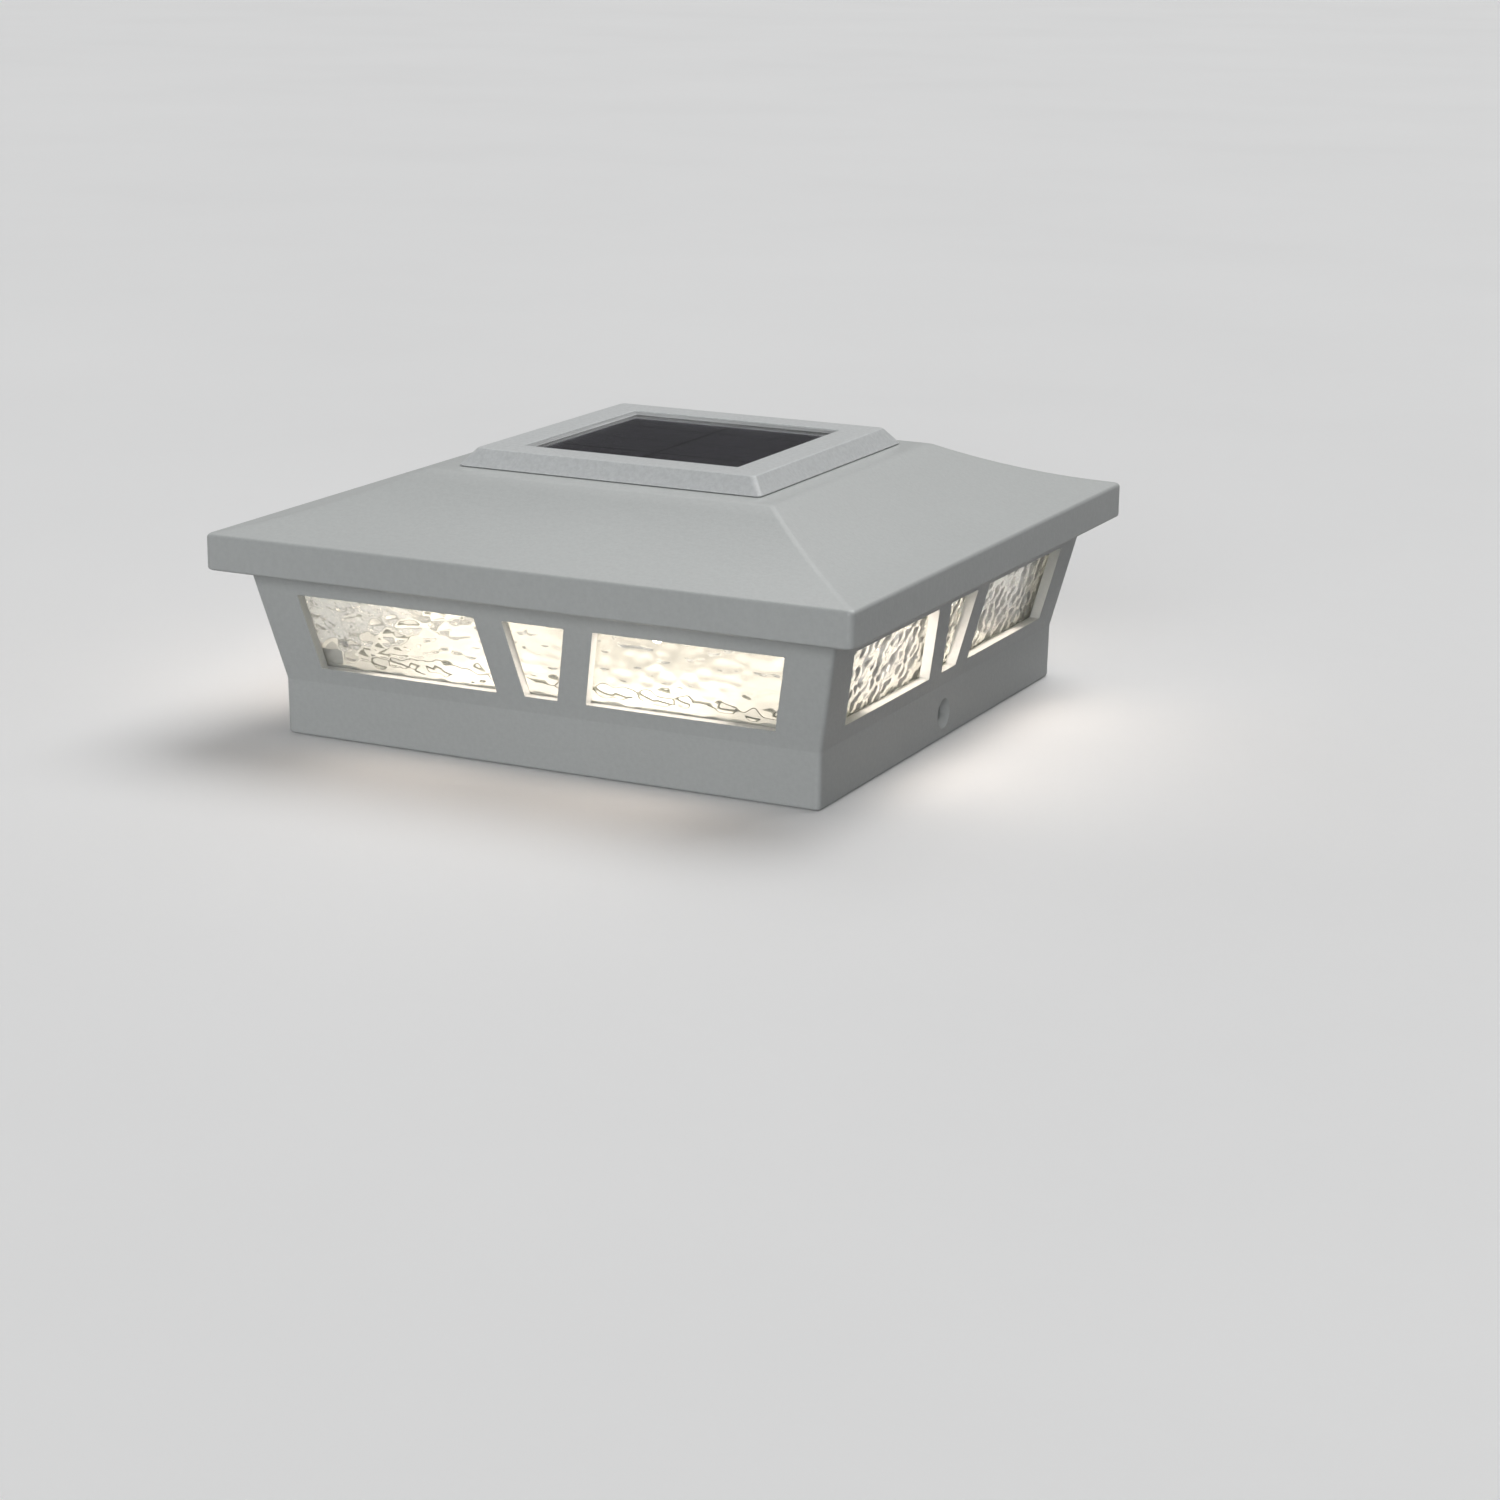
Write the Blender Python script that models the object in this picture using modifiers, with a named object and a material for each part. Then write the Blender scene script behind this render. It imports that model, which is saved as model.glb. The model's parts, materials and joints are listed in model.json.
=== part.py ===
"""Square post cap with a solar light.

A cast base drops over the post and carries glass windows on its four sides. The cast roof lifts
off the base with everything electrical: solar panel, lamps, battery, switch and circuit board.

Metres, +Z up. The origin is the centre of the base's bottom rim, and the front is -Y.
A "half" is half the width of a square. Each piece is an object of its own.
"""

import math

import bmesh
import bpy
from mathutils import Matrix, Vector

PARTS = "solar_post_cap"
CUTTERS = "cutters"

# General
GAP = 0.0003            # clearance between neighbouring pieces
WALL = 0.003            # thickness of the castings
MERGE = 0.000001        # points closer than this are one point
ARC_STEP = 18           # degrees between the points of a rounded corner
REACH = 0.0010          # how far a cutting shape reaches past the faces it cuts
SINK = 0.0005           # how far a joined shape starts inside the one it joins

# Screws: head radius, head height and shank radius
CLIP_SCREW = (0.0026, 0.0016, 0.0012)
BEZEL_SCREW = (0.0022, 0.0014, 0.0010)
TRAY_SCREW = (0.0029, 0.0018, 0.0011)
BOARD_SCREW = (0.0024, 0.0015, 0.0010)
LOOSE = 0.0005          # radial room round a shank where the screw passes through
SNUG = 0.0003           # and where its thread would bite

# Base: a straight skirt round the post, then a body that flares outwards
SKIRT_HALF = 0.0805
SOCKET_HALF = SKIRT_HALF - WALL
KINK_HALF = 0.0807
KINK_Z = 0.0155
FLARE = 0.213           # outward run of the body's sides for each unit of height
BODY_TOP = 0.0500
BODY_CORNER = 0.0015
LEDGE_HALF = 0.0640     # the ledge inside the base rests on the post's top
LEDGE_LOW = 0.0156
LEDGE_TOP = 0.0184
FLANGE_HALF = 0.0760    # inner edge of the flange that carries the roof
FLANGE_THICK = 0.0028
PIN_AT = 0.0810         # x and y of the four locating pins
PIN_RADIUS = 0.0020
PIN_TOP = 0.0550
PIN_ROOM = 0.0004       # radial room round a pin
FIXING_Z = 0.0070       # fixing screws pass through the left and right skirt here
FIXING_RADIUS = 0.0024
COUNTERSINK_RADIUS = 0.0042
COUNTERSINK_DEPTH = 0.0019

# Windows: two slanted ones and a narrow one between them on each side
WINDOW_LOW = 0.0199
WINDOW_TOP = 0.0407
WINDOW_CENTRE_HALF = 0.0049
WINDOW_BAR = 0.0085
WINDOW_SIDE = 0.0549
WINDOW_CORNER = 0.0003
WINDOW_CUT = (0.0745, 0.0950)   # from and to, counted from the centre

# Glass, reflector and their clips
GLASS_THICK = 0.0030
REFLECTOR_HALF = 0.0745
REFLECTOR_THICK = 0.0010
CLIP_AT = 0.0696        # x and y of the clip screws
CLIP_LOW_HALF = 0.0655
CLIP_HIGH_HALF = 0.0744
CLIP_THICK = 0.0010
CLIP_HEIGHT = 0.0045

# Roof
ROOF_HALF = 0.0956
LIP_LOW = 0.04695
LIP_TOP = 0.0568
PLATFORM_HALF = 0.0523
PLATFORM_Z = 0.0718
SLOPE_SAG = 0.0015      # how far the hollow slopes lie under a straight line
SLOPE_STEPS = 8
ROOF_CORNER = 0.0020
PANEL_HOLE_HALF = 0.0320
TRAY_BOSS_AT = 0.0470
TRAY_BOSS_RADIUS = 0.0045
TRAY_BOSS_BORE_TOP = 0.0620
REST_BOSS_RADIUS = 0.0045
REST_BOSS_LOW = BODY_TOP + 0.0014
REST_BOSS_TOP = 0.0586  # inside the thickness of the slope
REST_PAD_RADIUS = 0.0044

# Solar panel on the platform
BEZEL_TOP_HALF = 0.0424
BEZEL_FOOT_HALF = 0.0463
BEZEL_TOP = 0.0767
BEZEL_LOW = PLATFORM_Z + 0.0002
BEZEL_CORNER = 0.0018
BEZEL_OPEN_HALF = 0.0327
BEZEL_LIP = 0.0009
POCKET_HALF = 0.0363
BEZEL_SCREW_AT = 0.0396
BEZEL_SCREW_BITE = 0.0030
GASKET_THICK = 0.0006
BACKBOARD_THICK = 0.0008
CELL_HALF = 0.0345
CELL_THICK = 0.0003
CELL_SPLIT_X = 0.0005   # half the dark line between the left and right cells
CELL_SPLIT_Y = 0.0002
GLAZING_THICK = 0.0012
STACK_GAP = 0.0002      # between the thin layers of the panel
PANEL_CORNER = 0.0010

# Light tray under the roof
TRAY_HALF = 0.0740
TRAY_LOW = 0.0476
TRAY_TOP = 0.0496
LED_BOARD_HALF = 0.0710
LED_BOARD_INNER = 0.0610
LED_BOARD_THICK = 0.0016
LED_AT = (0.0260, -0.0660)
LED_RADIUS = 0.0025
LED_LENGTH = 0.0086
LED_RIM = (0.0004, 0.0010)      # the foot's rim: how far out and how high
LED_DOME_STEPS = 4
TAB_HALF = 0.0060       # the lamp board's tab, where its leads land
TAB_END_Y = -0.0535
PEG_AT = 0.0660
PEG_RADIUS = 0.0015
PEG_HEAD_RADIUS = 0.0026
PEG_HEAD_THICK = 0.0008
LEAD_SLOT_Y = -0.0565   # the lamp leads pass through the tray here
LEAD_SLOT = (0.0040, 0.0017)

# Battery bay: one AA cell along X
CELL_CENTRE_Z = 0.0576
BATTERY_RADIUS = 0.00725
BATTERY_LENGTH = 0.0495
BATTERY_START_X = -0.0217
NUB_RADIUS = 0.0027
NUB_LENGTH = 0.0010
BAY_HALF_X = 0.0300
BAY_HALF_Y = 0.0076
BAY_WALL = 0.0015
CONTACT_HALF = 0.0060
CONTACT_THICK = 0.0006
CONTACT_TAB_HALF = 0.0015
TAIL_END_X = 0.0330     # both contacts end this far from the centre
SPRING_TURNS = 5
SPRING_WIRE = 0.0004
SPRING_WIDE = 0.0055
SPRING_NARROW = 0.0025
DOOR_HALF_X = 0.0310
DOOR_HALF_Y = 0.0100
DOOR_THICK = 0.0016
RAIL_WIDTH = 0.0020
RAIL_REACH = 0.0013     # how far a rail's hook reaches under the door
RAIL_THICK = 0.0012
RIB_AT = (0.0020, 0.0040, 0.0060)
RIB_HALF = (0.0080, 0.0004)
RIB_HEIGHT = 0.0006

# Circuit board and switch
BOARD_HALF_X = 0.0240
BOARD_Y = (-0.0400, -0.0160)
BOARD_LOW = 0.0540
BOARD_THICK = 0.0016
BOARD_SCREW_AT = (0.0200, -0.0280)
BOARD_POST_RADIUS = 0.0030
SWITCH_Y = -0.0280
SWITCH_TRAVEL = 0.0040
SWITCH_BODY = (0.0055, 0.0030)
SWITCH_SLOT_DEPTH = 0.0020
STEM_HALF = (0.0015, 0.0009)
KNOB_HALF = (0.0025, 0.0020)
KNOB_THICK = 0.0014
WIRE_RADIUS = 0.0007

# Name: colour, roughness, metallic
FINISHES = {
    "powder_coat": ((0.52, 0.53, 0.52, 1), 0.55, 0.0),
    "bezel_paint": ((0.56, 0.57, 0.57, 1), 0.50, 0.0),
    "hammered_glass": ((0.93, 0.96, 0.88, 1), 0.08, 0.0),
    "panel_glazing": ((0.75, 0.75, 0.80, 1), 0.10, 0.0),
    "silicon": ((0.035, 0.030, 0.045, 1), 0.35, 0.2),
    "foam": ((0.03, 0.03, 0.03, 1), 0.90, 0.0),
    "white_reflector": ((0.85, 0.84, 0.80, 1), 0.45, 0.0),
    "white_plastic": ((0.80, 0.80, 0.78, 1), 0.45, 0.0),
    "grey_plastic": ((0.30, 0.31, 0.32, 1), 0.50, 0.0),
    "black_plastic": ((0.02, 0.02, 0.02, 1), 0.45, 0.0),
    "circuit_green": ((0.02, 0.16, 0.06, 1), 0.40, 0.0),
    "circuit_white": ((0.80, 0.80, 0.77, 1), 0.40, 0.0),
    "lamp_resin": ((1.0, 0.90, 0.68, 1), 0.15, 0.0),
    "zinc_steel": ((0.62, 0.63, 0.65, 1), 0.30, 1.0),
    "nickel": ((0.66, 0.63, 0.58, 1), 0.25, 1.0),
    "battery_sleeve": ((0.05, 0.22, 0.12, 1), 0.35, 0.0),
    "rubber": ((0.02, 0.02, 0.02, 1), 0.80, 0.0),
    "red_wire": ((0.55, 0.03, 0.02, 1), 0.40, 0.0),
    "black_wire": ((0.02, 0.02, 0.02, 1), 0.40, 0.0),
}

QUARTERS = [Matrix.Rotation(math.radians(90 * k), 4, "Z") for k in range(4)]
CORNERS = [(1, 1), (-1, 1), (-1, -1), (1, -1)]


# ---------------------------------------------------------------- scene and meshes

def start_scene():
    """Empties the scene and makes the two collections."""
    for obj in list(bpy.data.objects):
        bpy.data.objects.remove(obj, do_unlink=True)
    for name in (PARTS, CUTTERS):
        collection = bpy.data.collections.new(name)
        bpy.context.scene.collection.children.link(collection)


def make_finishes():
    """One Principled material for each entry of FINISHES."""
    for name, (colour, roughness, metallic) in FINISHES.items():
        material = bpy.data.materials.new(name)
        material.use_nodes = True
        shader = material.node_tree.nodes["Principled BSDF"]
        shader.inputs["Base Color"].default_value = colour
        shader.inputs["Roughness"].default_value = roughness
        shader.inputs["Metallic"].default_value = metallic
        material.diffuse_color = colour


def attach(obj, parent):
    """Parents the object and leaves it where it is."""
    bpy.context.view_layer.update()
    obj.parent = parent
    obj.matrix_parent_inverse = parent.matrix_world.inverted()


def add_part(name, mesh, finish, parent=None, place=Matrix.Identity(4)):
    """A visible piece in the parts collection."""
    obj = bpy.data.objects.new(name, mesh)
    bpy.data.collections[PARTS].objects.link(obj)
    if not mesh.materials:
        mesh.materials.append(bpy.data.materials[finish])
    obj.matrix_world = place
    if parent:
        attach(obj, parent)
    return obj


def add_tool(name, meshes):
    """A hidden object, made of one or more meshes, that a Boolean modifier uses."""
    obj = bpy.data.objects.new(name, merged(name, meshes))
    bpy.data.collections[CUTTERS].objects.link(obj)
    obj.hide_render = True
    obj.display_type = "WIRE"
    return obj


def add_empty(name, location, parent=None):
    """The frame of a moving group, on its joint's axis."""
    obj = bpy.data.objects.new(name, None)
    bpy.data.collections[PARTS].objects.link(obj)
    obj.location = location
    if parent:
        attach(obj, parent)
    return obj


def merged(name, meshes):
    """One mesh that holds all the given ones."""
    bm = bmesh.new()
    for mesh in meshes:
        bm.from_mesh(mesh)
    result = bpy.data.meshes.new(name)
    bm.to_mesh(result)
    bm.free()
    return result


def moved(mesh, matrix):
    """A copy of the mesh, moved by the matrix."""
    copy = mesh.copy()
    copy.transform(matrix)
    return copy


def all_round(mesh):
    """The mesh and its copies after one, two and three quarter turns."""
    return [moved(mesh, quarter) for quarter in QUARTERS]


def boolean(obj, operation, name, meshes):
    """Cuts the meshes from the object (DIFFERENCE) or joins them to it (UNION)."""
    modifier = obj.modifiers.new(name, "BOOLEAN")
    modifier.operation = operation
    modifier.solver = "EXACT"
    modifier.object = add_tool(obj.name + "_" + name, meshes)


def evaluated_mesh(data, modify=None):
    """The mesh of a temporary object with this data and the modifiers that modify adds."""
    guide = bpy.data.objects.new("guide", data)
    bpy.context.scene.collection.objects.link(guide)
    if modify:
        modify(guide)
    graph = bpy.context.evaluated_depsgraph_get()
    mesh = bpy.data.meshes.new_from_object(guide.evaluated_get(graph))
    bpy.data.objects.remove(guide, do_unlink=True)
    bm = bmesh.new()
    bm.from_mesh(mesh)
    bmesh.ops.remove_doubles(bm, verts=bm.verts, dist=MERGE)
    bmesh.ops.recalc_face_normals(bm, faces=bm.faces)
    bm.to_mesh(mesh)
    bm.free()
    return mesh


def block(low, high):
    """A box between two opposite corners."""
    low, high = Vector(low), Vector(high)
    bm = bmesh.new()
    bmesh.ops.create_cube(bm, size=1.0)
    bmesh.ops.scale(bm, vec=high - low, verts=bm.verts)
    bmesh.ops.translate(bm, vec=(low + high) / 2, verts=bm.verts)
    mesh = bpy.data.meshes.new("block")
    bm.to_mesh(mesh)
    bm.free()
    return mesh


def rod(radius, low, high, centre=(0, 0), sides=20):
    """An upright cylinder."""
    bm = bmesh.new()
    bmesh.ops.create_cone(
        bm, cap_ends=True, segments=sides, depth=high - low, radius1=radius, radius2=radius)
    bmesh.ops.translate(bm, vec=(centre[0], centre[1], (low + high) / 2), verts=bm.verts)
    mesh = bpy.data.meshes.new("rod")
    bm.to_mesh(mesh)
    bm.free()
    return mesh


def rounded(outline):
    """Closed outline of (x, y, radius) points as (x, y) points, each corner an arc of its radius."""
    points = []
    for index, (x, y, radius) in enumerate(outline):
        corner = Vector((x, y))
        if not radius:
            points.append((x, y))
            continue
        back = (Vector(outline[index - 1][:2]) - corner).normalized()
        ahead = (Vector(outline[(index + 1) % len(outline)][:2]) - corner).normalized()
        half_angle = back.angle(ahead) / 2
        centre = corner + (back + ahead).normalized() * radius / math.sin(half_angle)
        spoke = corner + back * radius / math.tan(half_angle) - centre
        sweep = math.pi - 2 * half_angle
        steps = max(1, round(math.degrees(sweep) / ARC_STEP))
        side = 1 if back.cross(ahead) < 0 else -1
        for step in range(steps + 1):
            turn = Matrix.Rotation(side * sweep * step / steps, 2)
            points.append(tuple(centre + turn @ spoke))
    return points


def prism(outline, low, high):
    """A flat outline in XY, filled and extruded from low to high."""
    curve = bpy.data.curves.new("outline", "CURVE")
    curve.dimensions = "2D"
    curve.fill_mode = "BOTH"
    curve.extrude = (high - low) / 2
    spline = curve.splines.new("POLY")
    spline.points.add(len(outline) - 1)
    for point, (x, y) in zip(spline.points, outline):
        point.co = (x, y, 0, 1)
    spline.use_cyclic_u = True
    mesh = evaluated_mesh(curve)
    mesh.transform(Matrix.Translation((0, 0, (low + high) / 2)))
    return mesh


def square(half, radius):
    """Outline of a square with rounded corners."""
    return rounded([(x * half, y * half, radius) for x, y in CORNERS])


def turned(profile, sides, closed=False):
    """A profile of (radius, z) points, listed down its outer side, turned round Z."""
    mesh = bpy.data.meshes.new("profile")
    last = len(profile) - 1
    edges = [(k, k + 1) for k in range(last)]
    if closed:
        edges.append((last, 0))
    mesh.from_pydata([(radius, 0, z) for radius, z in profile], edges, [])

    def screw(guide):
        modifier = guide.modifiers.new("Turn", "SCREW")
        modifier.steps = sides
        modifier.render_steps = sides
        modifier.use_merge_vertices = True
        modifier.merge_threshold = MERGE

    return evaluated_mesh(mesh, screw)


def mark_corners(mesh):
    """Sets the bevel weight of the outer corners: whole where sides meet square, less on the hips."""
    least = 0.35
    flat = math.radians(2)
    bm = bmesh.new()
    bm.from_mesh(mesh)
    weight = bm.edges.layers.float.new("bevel_weight_edge")
    for edge in bm.edges:
        first, second = (vert.co for vert in edge.verts)
        at_one_corner = first.x * second.x > 0 and first.y * second.y > 0
        if at_one_corner and edge.is_convex and edge.calc_face_angle() > flat:
            edge[weight] = least + (1 - least) * edge.calc_face_angle() / math.radians(90)
    bm.to_mesh(mesh)
    bm.free()


def square_ring(name, profile, corner, finish, parent=None):
    """A ring with a square plan: a closed profile of (half, z) points turned in four steps."""
    mesh = turned([(half * math.sqrt(2), z) for half, z in profile], 4, closed=True)
    mesh.transform(Matrix.Rotation(math.radians(45), 4, "Z"))
    mark_corners(mesh)
    obj = add_part(name, mesh, finish, parent)
    if corner:
        bevel = obj.modifiers.new("Corners", "BEVEL")
        bevel.limit_method = "WEIGHT"
        bevel.width = corner
        bevel.segments = 3
        bevel.use_clamp_overlap = False
    return obj


def smooth_route(route, steps):
    """Points on a smooth curve through the route's points, steps to each stretch."""
    points = [Vector(point) for point in route]
    ends = [2 * points[0] - points[1]] + points + [2 * points[-1] - points[-2]]
    result = []
    for before, start, end, after in zip(ends, ends[1:], ends[2:], ends[3:]):
        for step in range(steps):
            t = step / steps
            result.append(0.5 * (
                2 * start + (end - before) * t
                + (2 * before - 5 * start + 4 * end - after) * t ** 2
                + (3 * start - before - 3 * end + after) * t ** 3))
    result.append(points[-1])
    return result


def wire(name, points, radius, finish, parent):
    """A round wire through the points."""
    curve = bpy.data.curves.new(name, "CURVE")
    curve.dimensions = "3D"
    curve.bevel_depth = radius
    curve.bevel_resolution = 2
    curve.use_fill_caps = True
    spline = curve.splines.new("POLY")
    spline.points.add(len(points) - 1)
    for target, point in zip(spline.points, points):
        target.co = (*point, 1)
    return add_part(name, curve, finish, parent)


def screw_mesh(size, length):
    """A pan-head screw with a cross recess: its head is above z = 0 and its shank below."""
    head_radius, head_height, shank_radius = size
    profile = [
        (0, head_height), (head_radius * 0.6, head_height * 0.92), (head_radius, head_height * 0.35),
        (head_radius, 0), (shank_radius, 0), (shank_radius, shank_radius - length), (0, -length)]
    arm, width = head_radius * 0.55, head_radius * 0.12
    floor, above = head_height * 0.35, head_height * 2
    cross = merged("cross", [
        block((-arm, -width, floor), (arm, width, above)),
        block((-width, -arm, floor), (width, arm, above))])
    tool = add_tool("screw_recess", [cross])

    def recess(guide):
        modifier = guide.modifiers.new("Recess", "BOOLEAN")
        modifier.operation = "DIFFERENCE"
        modifier.solver = "EXACT"
        modifier.use_self = True
        modifier.object = tool

    mesh = evaluated_mesh(turned(profile, 12), recess)
    bpy.data.objects.remove(tool, do_unlink=True)
    return mesh


def add_screws(name, mesh, places, parent=None):
    """The same screw at several places; each place is a matrix."""
    for number, place in enumerate(places, start=1):
        add_part(f"{name}_{number}", mesh, "zinc_steel", parent, place)


def at_corners(half, z, upside_down=False):
    """Matrices for a piece at the four corners of a square."""
    flip = Matrix.Rotation(math.pi if upside_down else 0, 4, "X")
    return [Matrix.Translation((x * half, y * half, z)) @ flip for x, y in CORNERS]


# ---------------------------------------------------------------- base

def body_half(z):
    """Half width of the flared body's outside."""
    return KINK_HALF + FLARE * (z - KINK_Z)


def body_inside(z):
    """Half width of the flared body's inside."""
    return body_half(z) - WALL


def window_outlines():
    """The three windows of one side as outlines of (x, z, radius)."""
    rise = FLARE * (WINDOW_TOP - WINDOW_LOW)
    inner = WINDOW_CENTRE_HALF + WINDOW_BAR
    outer = inner + WINDOW_SIDE
    spans = [(-WINDOW_CENTRE_HALF, WINDOW_CENTRE_HALF), (inner, outer), (-outer, -inner)]
    outlines = []
    for left, right in spans:
        lean_left = math.copysign(rise, left)
        lean_right = math.copysign(rise, right)
        outlines.append([
            (left, WINDOW_LOW, WINDOW_CORNER), (right, WINDOW_LOW, WINDOW_CORNER),
            (right + lean_right, WINDOW_TOP, WINDOW_CORNER),
            (left + lean_left, WINDOW_TOP, WINDOW_CORNER)])
    return outlines


def add_base():
    """Skirt, ledge, flared walls and flange in one casting, with pins for the roof."""
    flange_low = BODY_TOP - FLANGE_THICK
    base = square_ring("base_shell", rounded([
        (body_half(BODY_TOP), BODY_TOP, 0.0006),
        (KINK_HALF, KINK_Z, 0.0020),
        (SKIRT_HALF, 0, 0.0008),
        (SOCKET_HALF, 0, 0.0004),
        (SOCKET_HALF, LEDGE_LOW, 0),
        (LEDGE_HALF, LEDGE_LOW, 0),
        (LEDGE_HALF, LEDGE_TOP, 0),
        (body_inside(LEDGE_TOP), LEDGE_TOP, 0),
        (body_inside(flange_low), flange_low, 0),
        (FLANGE_HALF, flange_low, 0),
        (FLANGE_HALF, BODY_TOP, 0)]), BODY_CORNER, "powder_coat")

    pin = rod(PIN_RADIUS, BODY_TOP - SINK, PIN_TOP, (PIN_AT, PIN_AT), sides=16)
    boolean(base, "UNION", "pins", all_round(pin))

    stand_up = Matrix.Rotation(math.radians(90), 4, "X")
    openings = [
        moved(prism(rounded(outline), *WINDOW_CUT), stand_up) for outline in window_outlines()]
    windows = [copy for opening in openings for copy in all_round(opening)]
    boolean(base, "DIFFERENCE", "windows", windows)

    ledge_hole = rod(
        CLIP_SCREW[2] + SNUG, LEDGE_LOW - REACH, LEDGE_TOP + REACH, (CLIP_AT, CLIP_AT), sides=12)
    boolean(base, "DIFFERENCE", "ledge_holes", all_round(ledge_hole))

    point_right = Matrix.Translation((0, 0, FIXING_Z)) @ Matrix.Rotation(math.radians(90), 4, "Y")
    past_face = SKIRT_HALF + REACH / 2
    past_inside = SOCKET_HALF - REACH
    neck = SKIRT_HALF - COUNTERSINK_DEPTH
    cone_slope = (COUNTERSINK_RADIUS - FIXING_RADIUS) / COUNTERSINK_DEPTH
    way = moved(turned([
        (0, past_face), (FIXING_RADIUS + cone_slope * (past_face - neck), past_face),
        (FIXING_RADIUS, neck), (FIXING_RADIUS, past_inside), (0, past_inside)], 24), point_right)
    boolean(base, "DIFFERENCE", "fixing_holes", [way, moved(way, QUARTERS[2])])


def pane_mesh():
    """One glass pane at the front: it leans with the wall and its ends are mitred."""
    low, high = LEDGE_TOP + GAP, BODY_TOP - FLANGE_THICK - GAP
    bm = bmesh.new()
    bmesh.ops.create_cube(bm, size=2.0)
    for vert in bm.verts:
        side, depth, level = vert.co
        vert.co.z = high if level > 0 else low
        inset = GAP if depth < 0 else GAP + GLASS_THICK
        vert.co.y = inset - body_inside(vert.co.z)
        vert.co.x = side * (-vert.co.y - GAP)
    mesh = bpy.data.meshes.new("pane")
    bm.to_mesh(mesh)
    bm.free()
    return mesh


def add_glass():
    """Four panes behind the windows."""
    pane = pane_mesh()
    for side, quarter in zip(("front", "right", "back", "left"), QUARTERS):
        add_part("glass_pane_" + side, moved(pane, quarter), "hammered_glass")


def add_reflector():
    """White sheet that closes the light chamber at the bottom, and the corner clips over it."""
    low = LEDGE_TOP + GAP
    sheet_top = low + REFLECTOR_THICK
    sheet = add_part(
        "reflector_floor", prism(square(REFLECTOR_HALF, 0.002), low, sheet_top), "white_reflector")
    way = CLIP_SCREW[2] + LOOSE
    screw_way = rod(way, low - REACH, sheet_top + REACH, (CLIP_AT, CLIP_AT), sides=12)
    boolean(sheet, "DIFFERENCE", "screw_ways", all_round(screw_way))

    foot = sheet_top + GAP
    inner, outer = CLIP_LOW_HALF, CLIP_HIGH_HALF
    hollow = outer - CLIP_THICK
    for number, quarter in enumerate(QUARTERS, start=1):
        clip = add_part(
            f"glass_clip_{number}",
            moved(block((inner, inner, foot), (outer, outer, foot + CLIP_HEIGHT)), quarter),
            "white_plastic")
        room = block(
            (inner - REACH, inner - REACH, foot + CLIP_THICK),
            (hollow, hollow, foot + CLIP_HEIGHT + REACH))
        hole = rod(way, foot - REACH, foot + CLIP_THICK + REACH, (CLIP_AT, CLIP_AT), sides=12)
        boolean(clip, "DIFFERENCE", "room", [moved(room, quarter)])
        boolean(clip, "DIFFERENCE", "hole", [moved(hole, quarter)])

    head_seat = foot + CLIP_THICK + GAP
    screw = screw_mesh(CLIP_SCREW, head_seat - LEDGE_LOW - GAP)
    add_screws("glass_clip_screw", screw, at_corners(CLIP_AT, head_seat))


# ---------------------------------------------------------------- roof

def hollow_arc(start, end):
    """(half, z, 0) points of the slope between two (half, z) points, hollow by SLOPE_SAG."""
    start, end = Vector(start), Vector(end)
    chord = end - start
    along = chord.normalized()
    out = Vector((-along.y, along.x))
    radius = (chord.length ** 2 / 4 + SLOPE_SAG ** 2) / (2 * SLOPE_SAG)
    centre = (start + end) / 2 + out * (radius - SLOPE_SAG)
    reach = math.asin(chord.length / 2 / radius)
    points = []
    for step in range(1, SLOPE_STEPS):
        angle = reach * (2 * step / SLOPE_STEPS - 1)
        point = centre - out * radius * math.cos(angle) + along * radius * math.sin(angle)
        points.append((point.x, point.y, 0))
    return points


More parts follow.
